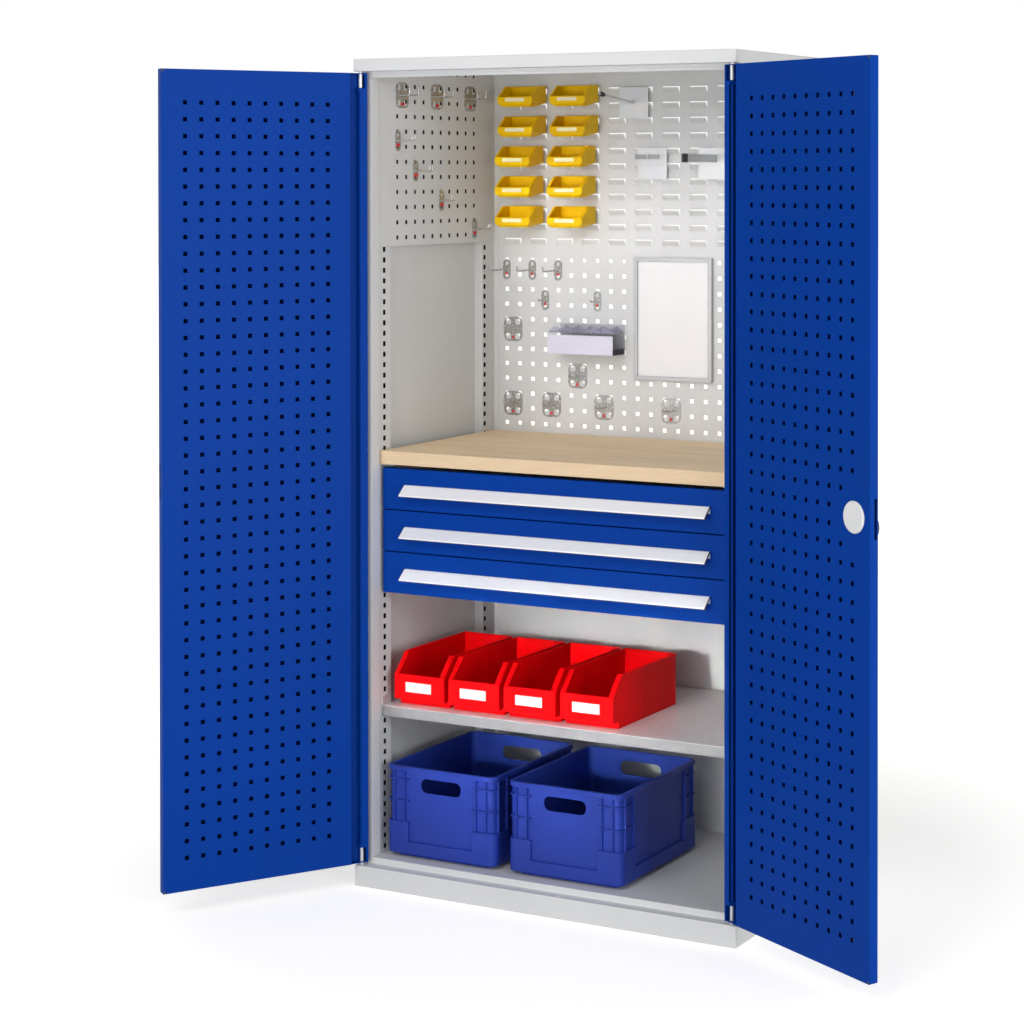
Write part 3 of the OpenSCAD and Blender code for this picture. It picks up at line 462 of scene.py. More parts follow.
@dataclass(frozen=True)
class BeechEdge(Finish):
    """Edge of the worktop: many thin plies, every second one cut across."""

    ply: float = 0.003

    def dress(self, surface: Surface) -> None:
        """Adds the plies with their glue lines and end grain.

        Args:
            surface: the material in the making.
        """
        height = surface.add("ShaderNodeSeparateXYZ", {"Vector": surface.here})["Z"]
        wave = surface.maths("SINE", surface.maths("MULTIPLY", height, math.tau / self.ply))
        share = surface.add("ShaderNodeMapRange", {"Value": wave, "From Min": -0.5,
                                                   "From Max": 0.5})["Result"]
        long_grain = surface.tones(surface.noise(1, 4, (14, 300, 900)), 0.97, 1.05)
        end_grain = surface.tones(surface.noise(900, 2), 0.95, 1.0, 0.35, 0.65)
        surface.colour(surface.blend(share, long_grain, end_grain))
        surface.gloss(surface.noise(60), -0.05, 0.08)
        surface.bump(wave, 0.00004, 0.4)


@dataclass(frozen=True)
class Moulded(Finish):
    """Injection-moulded plastic: an even colour, a soft gloss and slight sink marks."""

    erosion: float = 1100.0

    def dress(self, surface: Surface) -> None:
        """Adds flow clouds, sink marks and the mould's fine erosion.

        Args:
            surface: the material in the making.
        """
        surface.colour(surface.tones(surface.noise(7, 3), 0.95, 1.04))
        surface.gloss(surface.noise(30, 3), -0.07, 0.08)
        surface.bump(surface.noise(self.erosion, 1), 0.00003, 0.3)
        surface.bump(surface.noise(14, 1), 0.0006, 0.3)


@dataclass(frozen=True)
class Clear(Finish):
    """Clear acrylic."""

    def dress(self, surface: Surface) -> None:
        """Lets the light through, with a slightly uneven polish.

        Args:
            surface: the material in the making.
        """
        surface.shader["Transmission Weight"].default_value = 0.85
        surface.shader["IOR"].default_value = 1.49
        surface.gloss(surface.noise(50), 0.0, 0.08)


@dataclass(frozen=True)
class Paper(Finish):
    """Uncoated paper or card."""

    def dress(self, surface: Surface) -> None:
        """Adds the paper's cloudy look-through and fibres.

        Args:
            surface: the material in the making.
        """
        surface.colour(surface.tones(surface.noise(350, 4), 0.985, 1.0))
        surface.gloss(surface.noise(700), 0.0, 0.08)
        surface.bump(surface.noise(1500, 2), 0.00004, 0.3)


GREY_PAINT = PowderCoat("light_grey_powder_coat", "grey_paint", (214, 215, 215), 0.5, 0.0, 0.4)
BLUE_PAINT = PowderCoat("gentian_blue_powder_coat", "blue_paint", (0, 57, 148), 0.5, 0.0, 0.07)
GALVANISED = Galvanised("galvanised_sheet", "galvanised", (240, 240, 241), 0.34, 0.25)
# The same galvanised sheet in a darker tone, for the shelf's upright faces: painted shade.
GALVANISED_PAINTED_SHADE = Galvanised("galvanised_painted_shade", "galvanised", (150, 150, 151), 0.42, 0.3)
ZINC = ZincPlate("bright_zinc_plate", "zinc", (208, 209, 210), 0.34, 0.5)
HOOK_ZINC = ZincPlate("satin_zinc_plate", "zinc", (182, 181, 179), 0.26, 0.6)
ALUMINIUM = Anodised("anodised_aluminium", "aluminium", (252, 251, 253), 0.36, 0.1)
FRAME_SILVER = Anodised("matt_silver_profile", "aluminium", (184, 185, 188), 0.42, 0.4)
PALE_LACQUER = PowderCoat("pale_violet_lacquer", "aluminium", (222, 220, 238), 0.45)
# The face's colour is set lighter than the plies' to make up for the little light on the top under the roof:
# painted light over the beech's own tone.
BEECH = BeechTop("beech_face", "beech", (255, 225, 184), 0.45, 0.0, 0.3)
PLIES = BeechEdge("beech_plies", "beech", (226, 199, 163), 0.5, 0.0, 0.35)
RED = Moulded("red_polypropylene", "red_plastic", (240, 4, 10), 0.4, 0.0, 0.08)
YELLOW = Moulded("yellow_polypropylene", "yellow_plastic", (255, 202, 0), 0.38, 0.0, 0.2)
VIOLET_BLUE = Moulded("violet_blue_polyethylene", "blue_plastic", (30, 54, 148), 0.42, 0.0, 0.25)
BLACK = Moulded("black_plastic", "black_plastic", (34, 34, 37), 0.42)
# A near-black sheet for the hollows behind the posts and side panels: painted shade.
SHADE_SHEET = Paper("painted_shade_sheet", "black_plastic", (16, 16, 17), 0.9, 0.0, 0.1)
COVER = Moulded("light_grey_plastic", "pale_plastic", (222, 223, 222), 0.4)
MARKER = Moulded("red_marker", "red_plastic", (214, 18, 34), 0.35)
LABEL = Paper("white_card", "pale_plastic", (240, 240, 241), 0.6)
CREAM = Paper("cream_card", "pale_plastic", (255, 243, 205), 0.6)
ACRYLIC = Clear("clear_acrylic", "pale_plastic", (226, 226, 244), 0.08)


# ---------- making meshes ----------


@dataclass(frozen=True)
class EdgeBreak:
    """How the sharp edges of a piece are rounded off, in millimetres."""

    width: float = 0.6
    steps: int = 2
    shortest: float = 12.0
    angle: float = 32.0

    def weigh(self, shape: bmesh.types.BMesh) -> None:
        """Gives each sharp edge its share of the rounding: less where a face beside it is narrow.

        Args:
            shape: the mesh, in metres.
        """
        layer = shape.edges.layers.float.get("bevel_weight_edge")
        if layer is None:
            layer = shape.edges.layers.float.new("bevel_weight_edge")
        for edge in shape.edges:
            if len(edge.link_faces) != 2 or edge.calc_length() < self.shortest * MM:
                continue
            if edge.calc_face_angle(0.0) < math.radians(self.angle):
                continue
            start, along = edge.verts[0].co, (edge.verts[1].co - edge.verts[0].co).normalized()
            reach = min(max((corner.co - start).cross(along).length for corner in face.verts)
                        for face in edge.link_faces)
            share = min(1.0, 0.4 * reach / (self.width * MM))
            edge[layer] = share if edge.is_convex else 0.5 * share

    def apply(self, mesh: bpy.types.Mesh) -> bpy.types.Mesh:
        """Rounds off the weighted edges.

        Args:
            mesh: the mesh with its weights.

        Returns:
            A new mesh; the old one is removed.
        """
        for face in mesh.polygons:
            face.use_smooth = True
        mesh.set_sharp_from_angle(angle=math.radians(self.angle))
        holder = bpy.data.objects.new("holder", mesh)
        bpy.context.scene.collection.objects.link(holder)
        bevel = holder.modifiers.new("edge_break", "BEVEL")
        bevel.limit_method = "WEIGHT"
        bevel.width = self.width * MM
        bevel.segments = self.steps
        bevel.use_clamp_overlap = False
        flat = holder.modifiers.new("flat_faces", "WEIGHTED_NORMAL")
        flat.keep_sharp = True
        result = evaluated_mesh(holder)
        bpy.data.objects.remove(holder)
        bpy.data.meshes.remove(mesh)
        return result


FINE = EdgeBreak()
SHEET_BEND = EdgeBreak(1.6, 3, 20.0)
ROUND_PART = EdgeBreak(0.8, 2, 0.2)


def evaluated_mesh(holder: bpy.types.Object) -> bpy.types.Mesh:
    """Gives what an object's modifiers make of it.

    Args:
        holder: the object with its modifiers.

    Returns:
        The result as a new plain mesh.
    """
    graph = bpy.context.evaluated_depsgraph_get()
    graph.update()
    return bpy.data.meshes.new_from_object(holder.evaluated_get(graph), preserve_all_data_layers=True,
                                           depsgraph=graph)


class Blank:
    """A mesh in the making, drawn in millimetres in the frame of its place."""

    def __init__(self, place: Matrix = CABINET) -> None:
        """Starts an empty mesh.

        Args:
            place: from the drawing's frame to the scene.
        """
        self.place = place
        self.shape = bmesh.new()
        self.finishes: list[Finish] = []

    def dress(self, faces: list[bmesh.types.BMFace], finish: Finish) -> None:
        """Gives faces their finish and turns them outwards.

        Args:
            faces: the faces of one closed solid.
            finish: their finish.
        """
        if finish not in self.finishes:
            self.finishes.append(finish)
        for face in faces:
            face.material_index = self.finishes.index(finish)
        bmesh.ops.recalc_face_normals(self.shape, faces=faces)

    def tube(self, rings: Sequence[Sequence[Vector]], finish: Finish) -> None:
        """Adds a solid through rings of corners.

        Args:
            rings: the rings in order, each with as many corners; the first and last have a face.
            finish: its finish.
        """
        rows = [[self.shape.verts.new(self.place @ corner) for corner in ring] for ring in rings]
        faces = [self.shape.faces.new(rows[0]), self.shape.faces.new(rows[-1])]
        for low, high in zip(rows, rows[1:]):
            for k in range(len(low)):
                m = (k + 1) % len(low)
                faces.append(self.shape.faces.new((low[k], low[m], high[m], high[k])))
        self.dress(faces, finish)

    def block(self, low: Point, high: Point, finish: Finish) -> None:
        """Adds a box.

        Args:
            low: its lowest corner.
            high: its highest corner.
            finish: its finish.
        """
        outline = [(low[0], low[1]), (high[0], low[1]), (high[0], high[1]), (low[0], high[1])]
        self.prism(outline, Plane.XY, low[2], high[2], finish)

    def prism(self, outline: Outline, plane: Plane, start: float, end: float, finish: Finish) -> None:
        """Adds an outline pushed out to a solid.

        Args:
            outline: its corners in order.
            plane: the plane of the outline.
            start: where it starts along the third direction.
            end: where it ends.
            finish: its finish.
        """
        self.tube([[plane.point(u, v, along) for u, v in outline] for along in (start, end)], finish)

    def lathe(self, profile: Outline, centre: Point, axis: Point, finish: Finish, steps: int = 32) -> None:
        """Adds a turned solid.

        Args:
            profile: radius and height pairs along the axis; the first and last have a face.
            centre: where height 0 is.
            axis: the direction of the axis.
            finish: its finish.
            steps: facets round the axis.
        """
        turn = Vector((0, 0, 1)).rotation_difference(Vector(axis)).to_matrix().to_4x4()
        seat = Matrix.Translation(centre) @ turn
        round_about = [(math.cos(math.tau * k / steps), math.sin(math.tau * k / steps)) for k in range(steps)]
        rings = [[seat @ Vector((radius * c, radius * s, height)) for c, s in round_about]
                 for radius, height in profile]
        self.tube(rings, finish)

    def take(self, mesh: bpy.types.Mesh, finish: Finish, at: Matrix = LOOSE) -> None:
        """Adds a finished mesh.

        Args:
            mesh: the mesh, which is removed.
            finish: its finish.
            at: where it goes in the drawing.
        """
        mesh.transform(self.place @ at)
        old = set(self.shape.faces)
        self.shape.from_mesh(mesh)
        bpy.data.meshes.remove(mesh)
        self.dress([face for face in self.shape.faces if face not in old], finish)

    def mesh(self, edges: EdgeBreak | None = None) -> bpy.types.Mesh:
        """Closes the drawing and gives its mesh.

        Args:
            edges: how its edges are rounded off, or None.

        Returns:
            The plain mesh.
        """
        if edges is not None:
            edges.weigh(self.shape)
        mesh = bpy.data.meshes.new("blank")
        self.shape.to_mesh(mesh)
        self.shape.free()
        return mesh if edges is None else edges.apply(mesh)

    def piece(self, name: str, body: str = "carcass", replaces: Sequence[str] = (),
              edges: EdgeBreak | None = None) -> None:
        """Turns the drawing into a piece of the cabinet.

        Args:
            name: the piece's name.
            body: the body that it moves with.
            replaces: the solids that it stands for.
            edges: how its edges are rounded off, or None.
        """
        place_piece(name, self.mesh(edges), body, self.finishes, replaces)

    def stand_in(self, node: str, body: str = "carcass", edges: EdgeBreak | None = None) -> None:
        """Turns the drawing into the piece that stands for a solid, named after it."""
        self.piece(node + DRESSED, body, [node], edges)


def place_piece(name: str, mesh: bpy.types.Mesh, body: str, finishes: Sequence[Finish],
                replaces: Sequence[str] = ()) -> None:
    """Puts a mesh into the scene as a piece.

    Args:
        name: the piece's name.
        mesh: its mesh, in metres in the row frame.
        body: the body that it moves with.
        finishes: its finishes, in the order of the faces' indices.
        replaces: the solids that it stands for.
    """
    mesh.name = name
    for finish in finishes:
        mesh.materials.append(finish.material())
    piece = bpy.data.objects.new(name, mesh)
    bpy.context.scene.collection.objects.link(piece)
    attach(piece, body)
    if replaces:
        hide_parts(*replaces)
    LOG.info("%s: %d faces on %s", name, len(mesh.polygons), body)


def soften(node: str, finish: Finish, edges: EdgeBreak, side_finish: Finish | None = None) -> None:
    """Makes a piece with rounded edges that stands for a solid.

    Args:
        node: the solid's name.
        finish: its finish.
        edges: how its edges are rounded off.
        side_finish: the finish of its upright faces, if it differs.
    """
    source = frame["nodes"][node]
    shape = bmesh.new()
    shape.from_mesh(source.data)
    bmesh.ops.remove_doubles(shape, verts=shape.verts, dist=2e-6)
    bmesh.ops.dissolve_degenerate(shape, dist=1e-6, edges=shape.edges)
    bmesh.ops.dissolve_limit(shape, angle_limit=math.radians(0.6), verts=shape.verts, edges=shape.edges,
                             use_dissolve_boundaries=False)
    bmesh.ops.connect_verts_concave(shape, faces=shape.faces)
    for face in shape.faces:
        upright = abs(face.normal.z) < 0.5
        face.material_index = 1 if side_finish is not None and upright else 0
    edges.weigh(shape)
    mesh = bpy.data.meshes.new(node)
    shape.to_mesh(mesh)
    shape.free()
    finishes = [finish] if side_finish is None else [finish, side_finish]
    place_piece(node + DRESSED, edges.apply(mesh), source["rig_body"], finishes, [node])


# ---------- node trees for what repeats ----------


class Tree(Nodes):
    """A geometry node tree while it is made."""

    def __init__(self, name: str, inputs: dict[str, str]) -> None:
        """Starts the tree.

        Args:
            name: its name.
            inputs: its inputs, each with its socket type.
        """
        super().__init__(bpy.data.node_groups.new(name, "GeometryNodeTree"))
        sockets = {"Geometry": "NodeSocketGeometry", **inputs, "Material": "NodeSocketMaterial"}
        self.tree.interface.new_socket("Geometry", in_out="OUTPUT", socket_type="NodeSocketGeometry")
        for label, kind in sockets.items():
            self.tree.interface.new_socket(label, in_out="INPUT", socket_type=kind)
        self.given = self.add("NodeGroupInput")

    def grid(self) -> Socket:
        """Adds a centred grid of points from the tree's Columns, Rows, Column Step and Row Step.

        Returns:
            The grid's mesh output.
        """
        given = self.given
        sizes = {}
        for size, count, step, points in (("Size X", "Columns", "Column Step", "Vertices X"),
                                          ("Size Y", "Rows", "Row Step", "Vertices Y")):
            sizes[points] = given[count]
            sizes[size] = self.maths("MULTIPLY", self.maths("SUBTRACT", given[count], 1.0), given[step])
        return self.add("GeometryNodeMeshGrid", sizes)["Mesh"]

    def finish(self, geometry: Socket) -> None:
        """Ends the tree in real geometry with its material.

        Args:
            geometry: what the tree has made.
        """
        real = self.add("GeometryNodeRealizeInstances", {"Geometry": geometry})["Geometry"]
        dressed = self.add("GeometryNodeSetMaterial", {"Geometry": real, "Material": self.given["Material"]})
        self.add("NodeGroupOutput", {"Geometry": dressed["Geometry"]})

    def run(self, values: dict[str, object], start: bpy.types.Mesh | None = None) -> bpy.types.Mesh:
        """Runs the tree once.

        Args:
            values: its inputs by name.
            start: the mesh that it starts from, which is removed.

        Returns:
            The plain mesh that it makes.
        """
        mesh = start or bpy.data.meshes.new("start")
        holder = bpy.data.objects.new("holder", mesh)
        bpy.context.scene.collection.objects.link(holder)
        modifier = holder.modifiers.new("tree", "NODES")
        modifier.node_group = self.tree
        for item in self.tree.interface.items_tree:
            if item.in_out == "INPUT" and item.name in values:
                modifier[item.identifier] = values[item.name]
        result = evaluated_mesh(holder)
        holder.modifiers.clear()
        bpy.data.objects.remove(holder)
        bpy.data.meshes.remove(mesh)
        return result


def punched_sheet_tree() -> Tree:
    """Makes the tree of a sheet with a field of punched holes.

    Returns:
        The tree; it draws in x and y about the sheet's middle, with the thickness along z.
    """
    lengths = ["Width", "Height", "Corner", "Thickness", "Column Step", "Row Step", "Hole Width",
               "Hole Height", "Hole Corner", "Shift X", "Shift Y", "Plain X", "Plain Y", "Plain Radius"]
    kinds = {label: "NodeSocketFloat" for label in lengths}
    tree = Tree("punched_sheet", {**kinds, "Columns": "NodeSocketInt", "Rows": "NodeSocketInt"})
    given = tree.given

    def rounded(width: str, height: str, corner: str) -> Socket:
        """Adds a rectangle with round corners, or with sharp ones where the corner is 0.

        Args:
            width: the name of its width.
            height: the name of its height.
            corner: the name of its corners' radius.

        Returns:
            The rectangle's curve.
        """
        sizes = {"Width": given[width], "Height": given[height]}
        plain = tree.add("GeometryNodeCurvePrimitiveQuadrilateral", sizes)["Curve"]
        soft = tree.add("GeometryNodeFilletCurve", {"Curve": plain, "Radius": given[corner], "Count": 2},
                        mode="POLY")["Curve"]
        is_round = tree.maths("GREATER_THAN", given[corner], 0.00001)
        return tree.add("GeometryNodeSwitch", {"Switch": is_round, "False": plain, "True": soft})["Output"]

    shift = tree.add("ShaderNodeCombineXYZ", {"X": given["Shift X"], "Y": given["Shift Y"]})[0]
    points = tree.add("GeometryNodeTransform", {"Geometry": tree.grid(), "Translation": shift})["Geometry"]
    middle = tree.add("ShaderNodeCombineXYZ", {"X": given["Plain X"], "Y": given["Plain Y"]})[0]
    here = tree.add("GeometryNodeInputPosition")[0]
    away = tree.add("ShaderNodeVectorMath", {0: here, 1: middle}, operation="DISTANCE")["Value"]
    punched = tree.maths("GREATER_THAN", away, given["Plain Radius"])
    hole = rounded("Hole Width", "Hole Height", "Hole Corner")
    holes = tree.add("GeometryNodeInstanceOnPoints", {"Points": points, "Selection": punched,
                                                      "Instance": hole})
    real = tree.add("GeometryNodeRealizeInstances", {"Geometry": holes["Instances"]})["Geometry"]
    outline = rounded("Width", "Height", "Corner")
    joined = tree.add("GeometryNodeJoinGeometry", {"Geometry": [real, outline]})["Geometry"]
    face = tree.add("GeometryNodeFillCurve", {"Curve": joined}, mode="TRIANGLES")["Mesh"]
    thickness = tree.add("ShaderNodeCombineXYZ", {"Z": given["Thickness"]})[0]
    raised = tree.add("GeometryNodeExtrudeMesh", {"Mesh": face, "Offset": thickness, "Individual": False},
                      mode="FACES")["Mesh"]
    back = tree.add("GeometryNodeFlipFaces", {"Mesh": face})["Mesh"]
    closed = tree.add("GeometryNodeJoinGeometry", {"Geometry": [raised, back]})["Geometry"]
    merged = tree.add("GeometryNodeMergeByDistance", {"Geometry": closed, "Distance": 0.00001})
    tree.finish(merged["Geometry"])
    return tree


def field_tree() -> Tree:
    """Makes the tree that repeats one part over a centred field.

    Returns:
        The tree; the part is the mesh that it starts from.
    """
    tree = Tree("field_of_parts", {"Columns": "NodeSocketInt", "Rows": "NodeSocketInt",
                                   "Column Step": "NodeSocketFloat", "Row Step": "NodeSocketFloat"})
    parts = tree.add("GeometryNodeInstanceOnPoints", {"Points": tree.grid(),
                                                      "Instance": tree.given["Geometry"]})
    tree.finish(parts["Instances"])
    return tree


def points_tree() -> Tree:
    """Makes the tree that puts one part on each of the given points.

    Returns:
        The tree; the points are the mesh that it starts from.
    """
    tree = Tree("part_on_points", {"Part": "NodeSocketObject"})
    part = tree.add("GeometryNodeObjectInfo", {"Object": tree.given["Part"]})["Geometry"]
    parts = tree.add("GeometryNodeInstanceOnPoints", {"Points": tree.given["Geometry"], "Instance": part})
    tree.finish(parts["Instances"])
    return tree


def wire_tree() -> Tree:
    """Makes the tree of a bent round wire.

    Returns:
        The tree; the wire's straight path is the mesh that it starts from.
    """
    tree = Tree("bent_wire", {"Radius": "NodeSocketFloat", "Bend": "NodeSocketFloat"})
    path = tree.add("GeometryNodeMeshToCurve", {"Mesh": tree.given["Geometry"]})["Curve"]
    bent = tree.add("GeometryNodeFilletCurve", {"Curve": path, "Radius": tree.given["Bend"], "Count": 4,
                                                "Limit Radius": True}, mode="POLY")["Curve"]
    ring = tree.add("GeometryNodeCurvePrimitiveCircle", {"Radius": tree.given["Radius"], "Resolution": 10})
    wire = tree.add("GeometryNodeCurveToMesh", {"Curve": bent, "Profile Curve": ring["Curve"],
                                                "Fill Caps": True})["Mesh"]
    smooth = tree.add("GeometryNodeSetShadeSmooth", {"Geometry": wire, "Shade Smooth": True})
    tree.finish(smooth["Geometry"])
    return tree


PUNCHED_SHEET = punched_sheet_tree()
FIELD = field_tree()
ON_POINTS = points_tree()
WIRE = wire_tree()


@dataclass(frozen=True)
class PunchedSheet:
    """A flat sheet with a field of holes, in millimetres about its middle."""

    width: float
    height: float
    columns: int
    rows: int
    column_step: float = PITCH
    row_step: float = PITCH
    hole: tuple[float, float] = (10.0, 10.0)
    corner: float = 0.0
    hole_corner: float = 1.0
    thickness: float = SHEET
    shift: tuple[float, float] = (0.0, 0.0)
    plain: tuple[float, float, float] = (0.0, 0.0, -1.0)

    def cut(self, finish: Finish) -> bpy.types.Mesh:
        """Runs the tree of the punched sheet.

        Args:
            finish: the sheet's finish.

        Returns:
            The sheet in millimetres, with its face at z = 0 and its back at its thickness.
        """
        return PUNCHED_SHEET.run({
            "Width": self.width, "Height": self.height, "Corner": self.corner, "Thickness": self.thickness,
            "Columns": self.columns, "Rows": self.rows, "Column Step": self.column_step,
            "Row Step": self.row_step, "Hole Width": self.hole[0], "Hole Height": self.hole[1],
            "Hole Corner": self.hole_corner, "Shift X": self.shift[0], "Shift Y": self.shift[1],
            "Plain X": self.plain[0], "Plain Y": self.plain[1], "Plain Radius": self.plain[2],
            "Material": finish.material()})


def standing(origin: Point, along: Point, out: Point) -> Matrix:
    """Gives the place of a sheet that stands upright.

    Args:
        origin: the middle of its face.
        along: the direction of its width.
        out: the direction from its face to its back.

    Returns:
        The place, in millimetres.
    """
    columns = [Vector(along), Vector((0, 0, 1)), Vector(out), Vector(origin)]
    return Matrix([[column[row] for column in columns] for row in range(3)] + [[0, 0, 0, 1]])


def wire_mesh(path: Sequence[Point], radius: float, bend: float, finish: Finish) -> bpy.types.Mesh:
    """Bends a wire.

    Args:
        path: its corners in millimetres.
        radius: its radius.
        bend: the radius of its bends.
        finish: its finish.

    Returns:
        The wire's mesh in millimetres.
    """
    start = bpy.data.meshes.new("path")
    start.from_pydata([tuple(point) for point in path], [(i, i + 1) for i in range(len(path) - 1)], [])
    return WIRE.run({"Radius": radius, "Bend": bend, "Material": finish.material()}, start)


def on_points(part: bpy.types.Mesh, points: Sequence[Point], finish: Finish) -> bpy.types.Mesh:
    """Repeats a part on points.

    Args:
        part: the part's mesh in millimetres, which is removed.
        points: where it goes.
        finish: its finish.

    Returns:
        The mesh of all of them.
    """
    start = bpy.data.meshes.new("points")
    start.from_pydata([tuple(point) for point in points], [], [])
    holder = bpy.data.objects.new("part", part)
    bpy.context.scene.collection.objects.link(holder)
    result = ON_POINTS.run({"Part": holder, "Material": finish.material()}, start)
    bpy.data.objects.remove(holder)
    bpy.data.meshes.remove(part)
    return result


# ---------- carcass ----------


@dataclass(frozen=True)
class SlotColumn:
    """A column of slots: how deep it stands, its lowest edge and how many there are."""

    y: float
    low: float
    count: int


@dataclass
class Carcass:
    """Side walls, roof, plinth, floor, hinge rods and the four slotted posts."""

    post_width_front: float = 53.0
    post_width_rear: float = 58.0
    post_return: float = 13.0
    slot: tuple[float, float] = (12.0, 12.0)
    slot_pitch: float = 25.0
    front_slots: SlotColumn = SlotColumn(90.03, FLOOR_Z + 5.5, 58)
    rear_slots: SlotColumn = SlotColumn(538.0, FLOOR_Z + 23, 57)
    rod_radius: float = 4.5
    rod_ends: tuple[float, float] = (47.5, 1922.5)
    rod_painted: tuple[float, float] = (90.0, 1883.0)
    collar: tuple[float, float] = (7.5, 3.0)
    # Thickness and gap of the near-black sheets of painted shade in the hollows.
    shade_sheet_thickness: float = 2.0
    shade_sheet_gap: float = 2.0

    def build(self) -> None:
        """Builds the folded sheets, the rods, the posts, and the dark sheets of painted shade behind them."""
        for node in ("side_wall_left", "side_wall_right", "roof", "plinth", "floor_pan"):
            soften(node, GREY_PAINT, SHEET_BEND)
        soften("rear_wall_lower", GREY_PAINT, FINE)
        soften("levelling_feet", BLACK, ROUND_PART)
        self.hinge_rods()
        self.posts()
        self.shade_sheets()

    def posts(self) -> None:
        """Builds both posts of both sides as one piece."""
        blank = Blank()
        front_end = FRONT_POST_Y + self.post_width_front
        inner = POST_FACE - SHEET
        for side in Side:
            blank.place = side.carcass()
            self.post(blank, FRONT_POST_Y, self.post_width_front, self.front_slots)
            self.post(blank, REAR_POST_Y, self.post_width_rear, self.rear_slots)
            blank.block((SHEET, front_end - SHEET, FLOOR_Z), (inner, front_end, CEILING_Z), GREY_PAINT)
            blank.block((SHEET, REAR_POST_Y, FLOOR_Z), (inner, REAR_POST_Y + SHEET, CEILING_Z), GREY_PAINT)
            blank.block((POST_FACE, REAR_Y - SHEET, FLOOR_Z),
                        (POST_FACE + self.post_return, REAR_Y, CEILING_Z), GREY_PAINT)
        blank.stand_in("slotted_posts")

    def post(self, blank: Blank, start: float, width: float, slots: SlotColumn) -> None:
        """Adds the slotted face of a post.

        Args:
            blank: the drawing that it is added to.
            start: its front edge.
            width: its width.
            slots: its slots.
        """
        height = CEILING_Z - FLOOR_Z
        middle_y, middle_z = start + width / 2, FLOOR_Z + height / 2
        slots_z = slots.low + (slots.count - 1) * self.slot_pitch / 2 + self.slot[1] / 2
        sheet = PunchedSheet(width, height, 1, slots.count, self.slot_pitch, self.slot_pitch, self.slot,
                             shift=(slots.y - middle_y, slots_z - middle_z))
        face = standing((POST_FACE, middle_y, middle_z), (0, 1, 0), (-1, 0, 0))
        blank.take(sheet.cut(GREY_PAINT), GREY_PAINT, face)

    def hinge_rods(self) -> None:
        """Builds the hinge rods: painted between the doors' notches, bright at both ends."""
        blank = Blank()
        radius, (low, high), (lower, upper) = self.rod_radius, self.rod_ends, self.rod_painted
        wide, tall = self.collar
        collar = [(wide - 0.5, 0), (wide, 0.5), (wide, tall - 0.5), (wide - 0.5, tall)]
        for side in Side:
            blank.place = side.carcass()
            for start, end, finish in ((low, lower, ZINC), (lower, upper, BLUE_PAINT), (upper, high, ZINC)):
                blank.lathe([(radius, start), (radius, end)], HINGE, UP, finish)
            for z in (low - tall, high):
                blank.lathe([(reach, z + height) for reach, height in collar], HINGE, UP, ZINC)
        blank.stand_in("hinge_pins")

    def shade_sheets(self) -> None:
        """Builds near-black sheets in the hollows behind the posts and the side panels: painted shade that
        makes the holes look black.
        """
        gap = self.shade_sheet_gap
        front_end = FRONT_POST_Y + self.post_width_front
        hollows = ((FRONT_POST_Y + gap, front_end - gap - 1, FLOOR_Z + gap, 17.0),
                   (front_end + gap, REAR_POST_Y - gap, SIDE_PANEL_Z + gap + 1, 21.0),
                   (REAR_POST_Y + gap + 1, REAR_Y - 2 * gap, FLOOR_Z + gap, 17.0))
        for side in Side:
            blank = Blank(side.carcass())
            for start, end, low, x in hollows:
                blank.block((x, start, low), (x + self.shade_sheet_thickness, end, CEILING_Z - gap), SHADE_SHEET)
            blank.piece("cavity_pads_" + side.value)


